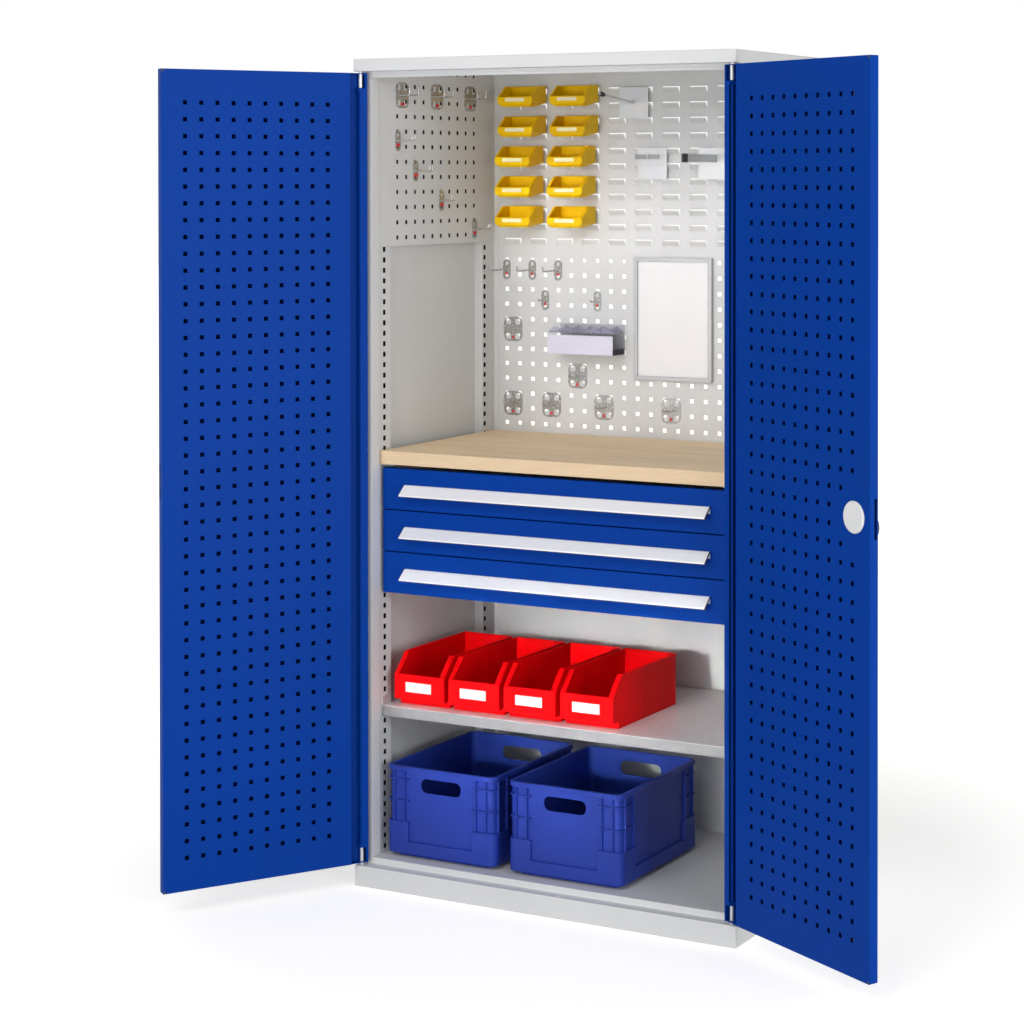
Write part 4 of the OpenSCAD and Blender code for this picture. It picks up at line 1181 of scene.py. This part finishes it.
@dataclass
class RearWall:
    """The perforated and the louvred rear panel with their bent edges and screws."""

    width: float = WIDTH - 2 * POST_FACE - 2
    tab: float = 14.0
    columns: int = 24
    rows: int = 12
    louvre_columns: int = 12
    louvre_rows: int = 11
    tongue: tuple[float, float] = (48.0, 17.0)
    tongue_gap: float = 2.5
    lean: float = 8.0
    screw_inset: float = 60.0

    def build(self) -> None:
        """Builds both panels and the screws."""
        perforated = PunchedSheet(self.width, LOUVRE_Z - PERFORATED_Z, self.columns, self.rows)
        self.panel(PERFORATED_Z, perforated).stand_in("rear_perforated_panel")
        height = CEILING_Z - LOUVRE_Z
        windows_z = LOUVRE_TOP - (self.louvre_rows - 1) * PITCH / 2 - self.tongue[1] / 2
        louvred = PunchedSheet(self.width, height, self.louvre_columns, self.louvre_rows, 2 * PITCH, PITCH,
                               self.tongue, shift=(0, windows_z - LOUVRE_Z - height / 2))
        blank = self.panel(LOUVRE_Z, louvred)
        field = {"Columns": self.louvre_columns, "Rows": self.louvre_rows, "Column Step": 2 * PITCH,
                 "Row Step": PITCH, "Material": GREY_PAINT.material()}
        tongues = FIELD.run(field, self.tongue_mesh())
        blank.take(tongues, GREY_PAINT, standing((WIDTH / 2, REAR_Y, windows_z), (1, 0, 0), (0, 1, 0)))
        blank.stand_in("rear_louvre_panel")
        self.screws()

    def panel(self, low: float, sheet: PunchedSheet) -> Blank:
        """Draws a panel with its edges bent to the back.

        Args:
            low: its lower edge.
            sheet: its punched face.

        Returns:
            The drawing.
        """
        blank = Blank()
        face = standing((WIDTH / 2, REAR_Y, low + sheet.height / 2), (1, 0, 0), (0, 1, 0))
        blank.take(sheet.cut(GREY_PAINT), GREY_PAINT, face)
        left, right = (WIDTH - sheet.width) / 2 + self.tab, (WIDTH + sheet.width) / 2 - self.tab
        back, end, high = REAR_Y + SHEET, DEPTH - SHEET, low + sheet.height
        for x in (left, right - SHEET):
            blank.block((x, back, low), (x + SHEET, end, high), GREY_PAINT)
        for z in (low, high - SHEET):
            blank.block((left + SHEET, back, z), (right - SHEET, end, z + SHEET), GREY_PAINT)
        return blank

    def tongue_mesh(self) -> bpy.types.Mesh:
        """One tongue about the middle of its window: a strip that curls out of the sheet.

        Returns:
            The mesh, with x along, y up and z to the back, in millimetres.
        """
        width, height, start = self.tongue[0] - 2, self.tongue[1] - self.tongue_gap, -self.tongue[1] / 2
        steps = 6
        face, back = [], []
        for k in range(steps + 1):
            share = k / steps
            curl = 0.5 - 0.5 * math.cos(math.pi * share)
            lean = self.lean * (0.7 * curl + 0.3 * share)
            face.append((start + height * share, -lean))
            back.append((start + height * share, SHEET - lean))
        blank = Blank(LOOSE)
        blank.prism(face + back[::-1], Plane.YZ, -width / 2, width / 2, GREY_PAINT)
        return blank.mesh()

    def screws(self) -> None:
        """Builds the pan-head screws that hold the panels on the posts."""
        part = Blank(LOOSE)
        head = [(3.0, 0.0), (3.0, 0.9), (2.6, 1.7), (1.6, 2.3), (0.6, 2.5)]
        part.lathe(head, (0, 0, 0), (0, 1, 0), ZINC, 16)
        part.block((-1.8, 2.1, -0.35), (1.8, 2.52, 0.35), BLACK)
        inset = self.screw_inset
        heights = (FLOOR_Z + 2 * inset, (FLOOR_Z + PERFORATED_Z) / 2, PERFORATED_Z - inset,
                   PERFORATED_Z + inset, LOUVRE_Z - inset, LOUVRE_Z + inset, CEILING_Z - inset)
        x = POST_FACE + 7
        points = [(side, REAR_Y + SHEET, z) for z in heights for side in (x, WIDTH - x)]
        blank = Blank()
        blank.take(on_points(part.mesh(), points, ZINC), ZINC)
        blank.stand_in("panel_screws")


@dataclass
class SidePanel:
    """A perforated panel on the inside of a side wall."""

    side: Side
    depth: float = 521.47
    columns: int = 10
    rows: int = 12
    row_step: float = SIDE_ROW
    field_shift: float = -8.25
    lip: tuple[float, float] = (15.0, 54.0)

    def build(self) -> None:
        """Builds the sheet and its bent lower edge."""
        height = CEILING_Z - SIDE_PANEL_Z
        blank = Blank(self.side.carcass())
        sheet = PunchedSheet(self.depth, height, self.columns, self.rows, PITCH, self.row_step,
                             shift=(self.field_shift, 0))
        middle = (POST_FACE + SHEET, FRONT_POST_Y + self.depth / 2, SIDE_PANEL_Z + height / 2)
        blank.take(sheet.cut(GREY_PAINT), GREY_PAINT, standing(middle, (0, 1, 0), (-1, 0, 0)))
        wide, start = self.lip
        blank.block((POST_FACE - wide, FRONT_POST_Y + start, SIDE_PANEL_Z),
                    (POST_FACE, REAR_POST_Y - 1, SIDE_PANEL_Z + SHEET), GREY_PAINT)
        blank.stand_in("side_panel_" + self.side.value)


# ---------- doors ----------


@dataclass
class Door:
    """A perforated swing door: shell, inner panel and bearing blocks."""

    side: Side
    opening: float
    low: float = 56.0
    high: float = 1917.0
    panel_start: float = 31.0
    free_edge: float = 484.0
    skin: float = -10.0
    inner: float = 12.0
    columns: int = 10
    rows: int = 46
    lock_at: tuple[float, float] = (435.0, 988.5)
    lock_margin: float = 60.0
    cap: float = 9.0

    def place(self) -> Matrix:
        """Gives the way from the door's own frame to the scene."""
        swing = Matrix.Rotation(-math.radians(self.opening), 4, "Z")
        return self.side.carcass() @ Matrix.Translation(HINGE) @ swing

    def build(self) -> None:
        """Builds the shell, the panel, the blocks and the caps."""
        name = "door_" + self.side.value
        soften(name + "_shell", BLUE_PAINT, SHEET_BEND)
        soften(name + "_bushes", BLUE_PAINT, FINE)
        self.panel(name)
        self.caps(name)

    def panel(self, body: str) -> None:
        """Builds the perforated inner panel with its flange along the groove.

        Args:
            body: the door's name.
        """
        width, height = self.free_edge - self.panel_start, self.high - self.low
        x, z = self.panel_start + width / 2, self.low + height / 2
        plain = (0.0, 0.0, -1.0)
        if self.side is Side.RIGHT:
            plain = (self.lock_at[0] - x, self.lock_at[1] - z, self.lock_margin)
        sheet = PunchedSheet(width, height, self.columns, self.rows, plain=plain)
        blank = Blank(self.place())
        blank.take(sheet.cut(BLUE_PAINT), BLUE_PAINT, standing((x, self.inner, z), (1, 0, 0), (0, -1, 0)))
        blank.block((self.panel_start, self.skin + SHEET, self.low + SHEET),
                    (self.panel_start + SHEET, self.inner - SHEET, self.high - SHEET), BLUE_PAINT)
        blank.stand_in(body + "_panel", body)

    def caps(self, body: str) -> None:
        """Builds the small plastic caps in the free edge's corners.

        Args:
            body: the door's name.
        """
        blank = Blank(self.place())
        edge, gap = self.free_edge - 1.6, 0.2
        for z, inward in ((self.low, 1), (self.high, -1)):
            near, far = z + inward * gap, z + inward * self.cap
            corner = [(self.free_edge - self.cap, near), (edge, near), (edge, far)]
            blank.prism(corner, Plane.XZ, self.inner - gap, self.inner + 0.7, BLACK)
        blank.piece(body + "_caps", body, (), EdgeBreak(0.4, 2, 2.0))


@dataclass
class Lock:
    """Handle, cover, cam and rods of the right door."""

    round_parts: tuple[tuple[str, Finish], ...] = (
        ("lock_cover", COVER), ("handle_rosette", BLACK), ("handle_grip", BLACK), ("lock_cylinder", ZINC),
        ("lock_cam", ZINC))
    flat_parts: tuple[tuple[str, Finish], ...] = (
        ("lock_case", ZINC), ("upper_rod", ZINC), ("lower_rod", ZINC), ("rod_guides", BLACK))

    def build(self) -> None:
        """Builds the lock's parts with broken edges."""
        for node, finish in self.round_parts:
            soften(node, finish, ROUND_PART)
        for node, finish in self.flat_parts:
            soften(node, finish, EdgeBreak(0.5, 2, 3.0))


# ---------- worktop, drawers, shelf ----------


@dataclass
class Worktop:
    """Beech worktop on its brackets."""

    edge: EdgeBreak = EdgeBreak(2.0, 3, 20.0)

    def build(self) -> None:
        """Builds the top with plies on its edges, and the brackets."""
        # The top's lighter tone than the plies' is partly painted light; grain and plies are the wood's own.
        soften("worktop", BEECH, self.edge, PLIES)
        soften("worktop_brackets", ZINC, FINE)


@dataclass
class Drawer:
    """One drawer with its runners."""

    number: int
    first_top: float = 945.0
    step: float = 99.5
    grip: tuple[float, float] = (97.0, 903.0)
    face: float = 72.03

    def build(self) -> None:
        """Builds front, grip, tray and the rails that move with it."""
        end = "_%d" % self.number
        soften("drawer_front" + end, BLUE_PAINT, EdgeBreak(1.4, 3, 20.0))
        soften("drawer_grip" + end, ALUMINIUM, EdgeBreak(0.5, 2, 20.0))
        soften("drawer_tray" + end, GREY_PAINT, FINE)
        soften("inner_rails" + end, ZINC, FINE)
        soften("mid_rails" + end, ZINC, FINE)
        self.shade_strips(end)

    def shade_strips(self, end: str) -> None:
        """Builds dark strips along the grip's lower edge and at its ends: painted shade.

        Args:
            end: the ending of the drawer's names.
        """
        top = self.first_top - (self.number - 1) * self.step
        (left, right), face = self.grip, self.face
        blank = Blank()
        # A black strip under the grip and black end pieces: painted shade along the grip's lower edge and
        # ends.
        blank.block((left + 1, face - 29.4, top - 25.6), (right - 1, face - 28.1, top - 22.0), BLACK)
        outline = [(face - 1, top - 0.2), (face - 6, top - 0.2), (face - 29.8, top - 21.2),
                   (face - 29.8, top - 25.6), (face - 27.6, top - 25.6), (face - 5.4, top - 3.6),
                   (face - 1, top - 3.6)]
        for x in (left - 1.2, right):
            blank.prism(outline, Plane.YZ, x, x + 1.2, BLACK)
        blank.piece("drawer_grip_seal" + end, "drawer" + end)


@dataclass
class Shelf:
    """Galvanised shelf on four clips."""

    edge: EdgeBreak = EdgeBreak(2.2, 3, 20.0)

    def build(self) -> None:
        """Builds the shelf, its clips and the outer rails of the drawers."""
        # The shelf's upright faces take a darker tone of the same galvanised sheet: painted shade.
        soften("shelf", GALVANISED, self.edge, GALVANISED_PAINTED_SHADE)
        soften("shelf_clips", ZINC, FINE)
        soften("runner_outer_rails", ZINC, FINE)


# ---------- bins and crates ----------


@dataclass
class ShelfBin:
    """An open-fronted red bin with its white card."""

    number: int
    first_x: float = 53.0
    step: float = 152.0
    front_y: float = 88.03
    bottom_z: float = 415.3
    card: tuple[float, float] = (72.0, 23.0)
    card_at: tuple[float, float] = (32.5, 35.0)
    rim: float = 2.0

    def build(self) -> None:
        """Builds the bin, its card and the card's holder."""
        body = "bin_%d" % self.number
        node = "shelf_bin_%d" % self.number
        soften(node, RED, EdgeBreak(1.3, 3, 6.0))
        x = self.first_x + (self.number - 1) * self.step + self.card_at[0]
        z = self.bottom_z + self.card_at[1]
        wide, high = self.card
        y = self.front_y
        blank = Blank()
        blank.block((x, y - 0.5, z), (x + wide, y + 0.2, z + high), LABEL)
        blank.piece(node + "_card", body)
        blank = Blank()
        rim = self.rim
        blank.block((x - rim, y - 1.2, z - rim), (x + wide + rim, y + 0.2, z), RED)
        for edge_x in (x - rim, x + wide):
            blank.block((edge_x, y - 1.2, z), (edge_x + rim, y + 0.2, z + high), RED)
        blank.piece(node + "_card_holder", body, (), EdgeBreak(0.4, 2, 2.0))


@dataclass
class LouvreBins:
    """Ten small yellow bins that hang on the louvred panel."""

    rows: int = 5
    columns: int = 2
    width: float = 102.0
    depth: float = 70.0
    height: float = 53.0
    card: tuple[float, float] = (56.0, 9.0)
    low_shift: float = 8.0

    def build(self) -> None:
        """Builds the bins and their cards."""
        soften("louvre_bins", YELLOW, EdgeBreak(0.9, 2, 4.0))
        points = []
        for row in range(self.rows):
            for column in range(self.columns):
                left = LOUVRE_X + 2 + column * 4 * PITCH - (self.low_shift if row > 1 else 0)
                points.append((left + self.width / 2, REAR_Y - 11 - self.depth,
                               LOUVRE_TOP + 6 - self.height - row * 2 * PITCH + 17.5))
        wide, high = self.card
        card = Blank(LOOSE)
        card.block((-wide / 2, -0.7, -high / 2), (wide / 2, 0.2, high / 2), CREAM)
        blank = Blank()
        blank.take(on_points(card.mesh(EdgeBreak(0.25, 1, 2.0)), points, CREAM), CREAM)
        blank.piece("louvre_bin_cards")


@dataclass
class Crate:
    """A ribbed violet-blue crate."""

    number: int

    def build(self) -> None:
        """Builds the crate with soft edges."""
        soften("crate_%d" % self.number, VIOLET_BLUE, EdgeBreak(0.9, 2, 2.2))


# ---------- fittings ----------


@dataclass(frozen=True)
class HookKind:
    """Sizes of one kind of hook: plate, spread of its prongs, reach, upturn and its red marks."""

    width: float
    height: float
    spread: float
    reach: float
    upturn: float
    marks: int


WIDE = HookKind(54, 62, 38, 34, 18, 2)
SLIM_LONG = HookKind(22, 52, 11, 45, 12, 2)
SLIM_SHORT = HookKind(22, 52, 11, 34, 12, 2)
SINGLE = HookKind(22, 52, 0, 75, 12, 1)
SMALL = HookKind(22, 52, 0, 34, 6, 1)
PEG = HookKind(54, 62, 11, 34, 6, 1)
PLIERS = HookKind(54, 62, 11, 34, 12, 1)


@dataclass
class Fittings:
    """Hooks, pen tray, document frame and the holders on the louvred panel."""

    wire: float = 2.2
    plate: float = 2.0
    side_top: float = 1869.7
    side_first: float = 143.5
    rear_rows: tuple[float, ...] = (1436.0, 1360.0, 1284.0, 1170.0, 1094.0)
    rear_first: float = 63.0
    tray_at: tuple[float, float, float] = (221.0, REAR_Y - 65, LOUVRE_Z - 260)
    tray_size: tuple[float, float] = (187.0, 65.0)
    frame_at: tuple[float, float, float] = (437.0, REAR_Y - 12, LOUVRE_Z - 322)
    frame_size: tuple[float, float] = (218.0, 306.0)
    frame_bar: float = 11.0
    plate_y: float = REAR_Y - 11
    plates_at: tuple[tuple[float, float], ...] = ((397.0, 1818.5), (619.0, 1666.5), (449.0, 1666.5))
    plate_size: tuple[float, float] = (82.0, 78.0)
    rod_root: tuple[float, float, float] = (434.7, REAR_Y - 10, 1857.5)
    rod_slope: float = 6.0
    bar_at: tuple[float, float] = (667.0, 1708.6)
    arms_at: tuple[tuple[float, float], ...] = ((471.1, 1716.4), (506.4, 1716.4))

    def build(self) -> None:
        """Builds all fittings."""
        self.hooks()
        self.pen_tray()
        self.document_frame()
        self.holders()

    def places(self) -> list[tuple[Matrix, HookKind]]:
        """Where each hook stands.

        Returns:
            The place of the middle of each plate's back, with x along the panel and -y out of it.
        """
        found: list[tuple[Matrix, HookKind]] = []
        on_left = [(column, 0, WIDE) for column in (0.5, 4.5, 8.5)]
        on_left += [(0, 3, SLIM_LONG), (2, 5, SLIM_LONG), (5, 7, SLIM_SHORT), (9, 9, SLIM_LONG)]
        for column, rows_down, kind in on_left:
            spot = (POST_FACE + SHEET, self.side_first + column * PITCH, self.side_top - rows_down * SIDE_ROW)
            found.append((Matrix.Translation(spot) @ Matrix.Rotation(math.pi / 2, 4, "Z"), kind))
        top, small, upper, middle, low = self.rear_rows
        on_rear = [(column, top, SINGLE) for column in (0, 2, 4)]
        on_rear += [(column, small, SMALL) for column in (3, 7)]
        on_rear += [(0.5, upper, PEG), (5.5, middle, PEG)]
        on_rear += [(column, low, PLIERS) for column in (0.5, 3.5, 7.5, 12.5)]
        for column, z, kind in on_rear:
            found.append((Matrix.Translation((self.rear_first + column * PITCH, REAR_Y, z)), kind))
        return found

    def hooks(self) -> None:
        """Builds all hooks as one piece."""
        blank = Blank()
        for place, kind in self.places():
            self.hook(blank, place, kind)
        blank.stand_in("tool_hooks")

    def hook(self, blank: Blank, place: Matrix, kind: HookKind) -> None:
        """Adds the plate, prongs and red marks of one hook.

        Args:
            blank: the drawing that they are added to.
            place: the middle of the plate's back.
            kind: the hook's sizes.
        """
        wide = kind.width > 30
        columns, opening = (2, (15.0, 15.0)) if wide else (1, (9.0, 11.0))
        corner = min(kind.width / 2 - 0.5, 14.0)
        sheet = PunchedSheet(kind.width, kind.height, columns, 2, kind.width * 0.5, kind.height * 0.6,
                             opening, corner, 4.0, self.plate)
        face, tip, half = -self.plate, -self.plate - kind.reach, kind.spread / 2
        blank.take(sheet.cut(HOOK_ZINC), HOOK_ZINC, place @ standing((0, face, 0), (1, 0, 0), (0, 1, 0)))
        for x in (-half, half) if half else (0.0,):
            prong = [(x, face + 0.5, 0), (x, tip, 0), (x, tip, kind.upturn)]
            blank.take(wire_mesh(prong, self.wire, 4.5, HOOK_ZINC), HOOK_ZINC, place)
        if half:
            bridge = [(-half - 2, face - self.wire, 0), (half + 2, face - self.wire, 0)]
            blank.take(wire_mesh(bridge, self.wire, 0.5, HOOK_ZINC), HOOK_ZINC, place)
        down = kind.height * (0.34 if wide else 0.2)
        marks = [(x, face, -down) for x in ((-4.0, 4.0) if kind.marks == 2 else (0.0,))]
        dot = Blank(LOOSE)
        dot.lathe([(3.8, 0.0), (3.8, 0.8), (3.0, 1.4)], (0, 0, 0), (0, -1, 0), MARKER, 14)
        blank.take(on_points(dot.mesh(), marks, MARKER), MARKER, place)

    def pen_tray(self) -> None:
        """Builds the pale pen tray with its dark ends, and its clear insert with wavy edges."""
        x0, y0, z0 = self.tray_at
        length, depth = self.tray_size
        end, rear = x0 + length, y0 + depth
        blank = Blank()
        blank.block((x0, y0, z0), (end, y0 + SHEET, z0 + 48), PALE_LACQUER)
        blank.block((x0, y0 + SHEET, z0), (end, rear - SHEET, z0 + SHEET), BLACK)
        blank.block((x0, rear - SHEET, z0), (end, rear, z0 + 73), FRAME_SILVER)
        for x in (x0 + 3, end - 5):
            blank.block((x, y0 + SHEET, z0 + SHEET), (x + 2, rear - SHEET, z0 + 14), BLACK)
        blank.stand_in("pen_tray", edges=EdgeBreak(0.5, 2, 10.0))
        insert = Blank()
        pens, step = 5, 36.75
        sheet = PunchedSheet(length - 4, depth - 8, pens, 1, step, step, (22.0, 22.0), 4.0, 9.0, 2.0)
        flat = Matrix.Translation((x0 + length / 2, y0 + depth / 2 - 2, z0 + 54))
        insert.take(sheet.cut(ACRYLIC), ACRYLIC, flat)
        points = 60
        for y in (y0 + 4, rear - 10):
            crest = []
            for k in range(points + 1):
                share = k / points
                wave = 5 * math.cos(math.tau * (share * pens - 0.5))
                crest.append((x0 + 3 + (length - 6) * share, z0 + 64 + wave))
            insert.prism(crest + [(end - 3, z0 + 56), (x0 + 3, z0 + 56)], Plane.XZ, y, y + 2, ACRYLIC)
        insert.piece("pen_tray_insert")

    def document_frame(self) -> None:
        """Builds the mitred frame and the blank sheet in it."""
        x0, y0, z0 = self.frame_at
        (wide, high), bar = self.frame_size, self.frame_bar
        gap = 0.12
        blank = Blank()
        sides = []
        for outer, inner in ((0, bar), (high, high - bar)):
            sides.append([(gap, outer), (wide - gap, outer), (wide - bar - gap, inner), (bar + gap, inner)])
        for outer, inner in ((0, bar), (wide, wide - bar)):
            sides.append([(outer, gap), (outer, high - gap), (inner, high - bar - gap), (inner, bar + gap)])
        for corners_of in sides:
            blank.prism([(x0 + u, z0 + v) for u, v in corners_of], Plane.XZ, y0, y0 + 12, FRAME_SILVER)
        blank.block((x0 + 4, y0 + 8, z0 + 4), (x0 + wide - 4, y0 + 11.9, z0 + high - 4), FRAME_SILVER)
        blank.stand_in("document_frame", edges=EdgeBreak(1.3, 3, 8.0))
        sheet = Blank()
        inset = bar - 2
        far = (x0 + wide - inset, y0 + 7.4, z0 + high - inset)
        sheet.block((x0 + inset, y0 + 6.6, z0 + inset), far, LABEL)
        sheet.piece("blank_sheet")

    def holders(self) -> None:
        """Builds the hung plates with their rod, bar and arms, and the dark ends."""
        blank = Blank()
        (wide, high), y = self.plate_size, self.plate_y
        for x, z in self.plates_at:
            blank.block((x, y, z), (x + wide, y + 2.5, z + high), ZINC)
            blank.block((x + wide / 4, y + 2, z + high - 1.8), (x + wide * 3 / 4, REAR_Y, z + high), ZINC)
            blank.block((x + 1, y - 0.6, z + 36), (x + wide - 1, y + 1, z + 38), ZINC)
        slope = math.radians(self.rod_slope)
        along = (0, -math.cos(slope), math.sin(slope))
        blank.lathe([(3.0, 0.0), (3.0, 168.0)], self.rod_root, along, ZINC, 20)
        x, z = self.bar_at
        blank.block((x, y - 182, z), (x + 3, y + 1, z + 19.5), ZINC)
        for arm_x, arm_z in self.arms_at:
            blank.block((arm_x, y - 59, arm_z), (arm_x + 3, y + 1, arm_z + 12), ZINC)
        blank.stand_in("tool_holders", edges=EdgeBreak(0.5, 2, 8.0))
        tips = Blank()
        knob = [(4.2, 146), (5.4, 150), (5.8, 160), (5.4, 165), (3.6, 167.6)]
        tips.lathe(knob, self.rod_root, along, BLACK, 24)
        tips.block((x - 1.2, y - 182.6, z - 1), (x + 4.2, y - 158, z + 20.5), BLACK)
        tips.piece("holder_tips", edges=EdgeBreak(1.0, 3, 2.0))


# ---------- studio ----------


@dataclass(frozen=True)
class FloorFinish(Finish):
    """Pale studio floor that keeps the soft shadow and fades into the white ground."""

    lift: float = 0.56
    near: float = 0.9
    far: float = 2.2

    def dress(self, surface: Surface) -> None:
        """Adds the glow that only the camera and glossy surfaces see; it grows to 1 from near to far.

        Args:
            surface: the material in the making.
        """
        path = surface.add("ShaderNodeLightPath")
        seen = surface.maths("MAXIMUM", path["Is Camera Ray"], path["Is Glossy Ray"])
        away = surface.add("ShaderNodeVectorMath", {0: surface.here}, operation="LENGTH")["Value"]
        lift = surface.add("ShaderNodeMapRange", {"Value": away, "From Min": self.near, "From Max": self.far,
                                                  "To Min": self.lift})["Result"]
        surface.shader["Emission Color"].default_value = (1, 1, 1, 1)
        surface.feed(surface.shader["Emission Strength"], surface.maths("MULTIPLY", seen, lift))
        surface.gloss(surface.noise(6), -0.05, 0.05)


@dataclass
class Studio:
    """White ground, soft lamps and the camera."""

    ambient: float = 0.29
    floor_size: float = 60.0
    camera_at: tuple[float, float, float] = (2.7063, -4.8291, 1.6752)
    camera_turn: tuple[float, float, float] = (89.292, 0.0, 26.925)
    lens: float = 82.03
    shift: tuple[float, float] = (-0.1805, -0.2999)

    def build(self) -> None:
        """Builds floor, world, camera, three soft boxes and three beams into the two open bays."""
        self.floor()
        self.world()
        self.camera()
        self.lamp("front_softbox", (0.3, -6.5, 0.7), (0, 0, 0.7), (5.0, 2.4), 158)
        self.lamp("high_softbox", (0.0, -5.0, 4.2), (0, 0, 0.9), (4.0, 2.0), 92)
        self.lamp("right_softbox", (5.0, -2.0, 1.5), (0, 0, 0.9), (2.6, 2.6), 140)
        self.lamp("upper_beam", (0.05, -5.0, 2.6), (0, 0.1, 1.35), (0.84, 0.72), 0.38, 4)
        self.lamp("top_beam", (0.05, -5.0, 2.2), (0, 0.1, 1.66), (0.84, 0.36), 0.2, 4)
        self.lamp("lower_beam", (0.05, -5.0, 1.35), (0, 0.1, 0.38), (0.84, 0.52), 1.0, 4)

    def floor(self) -> None:
        """Builds the floor."""
        mesh = bpy.data.meshes.new("studio_floor")
        half = self.floor_size / 2
        edges = [(-half, -half, 0), (half, -half, 0), (half, half, 0), (-half, half, 0)]
        mesh.from_pydata(edges, [], [(0, 1, 2, 3)])
        finish = FloorFinish("studio_floor", "grey_paint", (226, 225, 222), 0.9, 0.0, 0.1)
        mesh.materials.append(finish.material())
        floor = bpy.data.objects.new("studio_floor", mesh)
        bpy.context.scene.collection.objects.link(floor)

    def world(self) -> None:
        """Makes a world that lights softly and is seen as white."""
        world = bpy.data.worlds.new("studio_world")
        bpy.context.scene.world = world
        world.use_nodes = True
        nodes = Nodes(world.node_tree)
        nodes.tree.nodes.clear()
        path = nodes.add("ShaderNodeLightPath")
        seen = nodes.maths("MAXIMUM", path["Is Camera Ray"], path["Is Glossy Ray"])
        seen = nodes.maths("MAXIMUM", seen, path["Is Transmission Ray"])
        white = (1, 1, 1, 1)
        light = nodes.add("ShaderNodeBackground", {"Color": white, "Strength": self.ambient})["Background"]
        ground = nodes.add("ShaderNodeBackground", {"Color": white, "Strength": 1.0})["Background"]
        mixed = nodes.add("ShaderNodeMixShader", {0: seen, 1: light, 2: ground})["Shader"]
        nodes.add("ShaderNodeOutputWorld", {"Surface": mixed})

    def lamp(self, name: str, at: Point, aim: Point, size: tuple[float, float], power: float,
             spread: float = 180.0) -> None:
        """Adds a soft box.

        Args:
            name: its name.
            at: where it hangs.
            aim: what it looks at.
            size: its width and height.
            power: its power in watts.
            spread: the angle its light fans out to, in degrees.
        """
        data = bpy.data.lights.new(name, "AREA")
        data.shape = "RECTANGLE"
        data.size, data.size_y = size
        data.energy = power
        data.spread = math.radians(spread)
        lamp = bpy.data.objects.new(name, data)
        lamp.visible_camera = False
        lamp.location = at
        lamp.rotation_euler = (Vector(aim) - Vector(at)).to_track_quat("-Z", "Y").to_euler()
        bpy.context.scene.collection.objects.link(lamp)

    def camera(self) -> None:
        """Adds the camera at the photograph's angle."""
        data = bpy.data.cameras.new("camera")
        data.lens = self.lens
        data.sensor_width = 36.0
        data.shift_x, data.shift_y = self.shift
        camera = bpy.data.objects.new("camera", data)
        camera.location = self.camera_at
        camera.rotation_euler = [math.radians(angle) for angle in self.camera_turn]
        bpy.context.scene.collection.objects.link(camera)
        bpy.context.scene.camera = camera
        bpy.context.scene.view_settings.view_transform = "Standard"


def main() -> None:
    """Builds the cabinet's pieces in order."""
    logging.basicConfig(level=logging.INFO, format="%(message)s")
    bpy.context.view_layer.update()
    Studio().build()
    parts = [Carcass(), RearWall(), SidePanel(Side.LEFT), SidePanel(Side.RIGHT), Door(Side.LEFT, 122.6),
             Door(Side.RIGHT, 152.1), Lock(), Worktop(), Shelf(), LouvreBins(), Fittings()]
    parts += [Drawer(number) for number in (1, 2, 3)]
    parts += [ShelfBin(number) for number in (1, 2, 3, 4)]
    parts += [Crate(number) for number in (1, 2)]
    for part in parts:
        LOG.info("building %s", type(part).__name__)
        part.build()


if __name__ == "__main__":
    main()
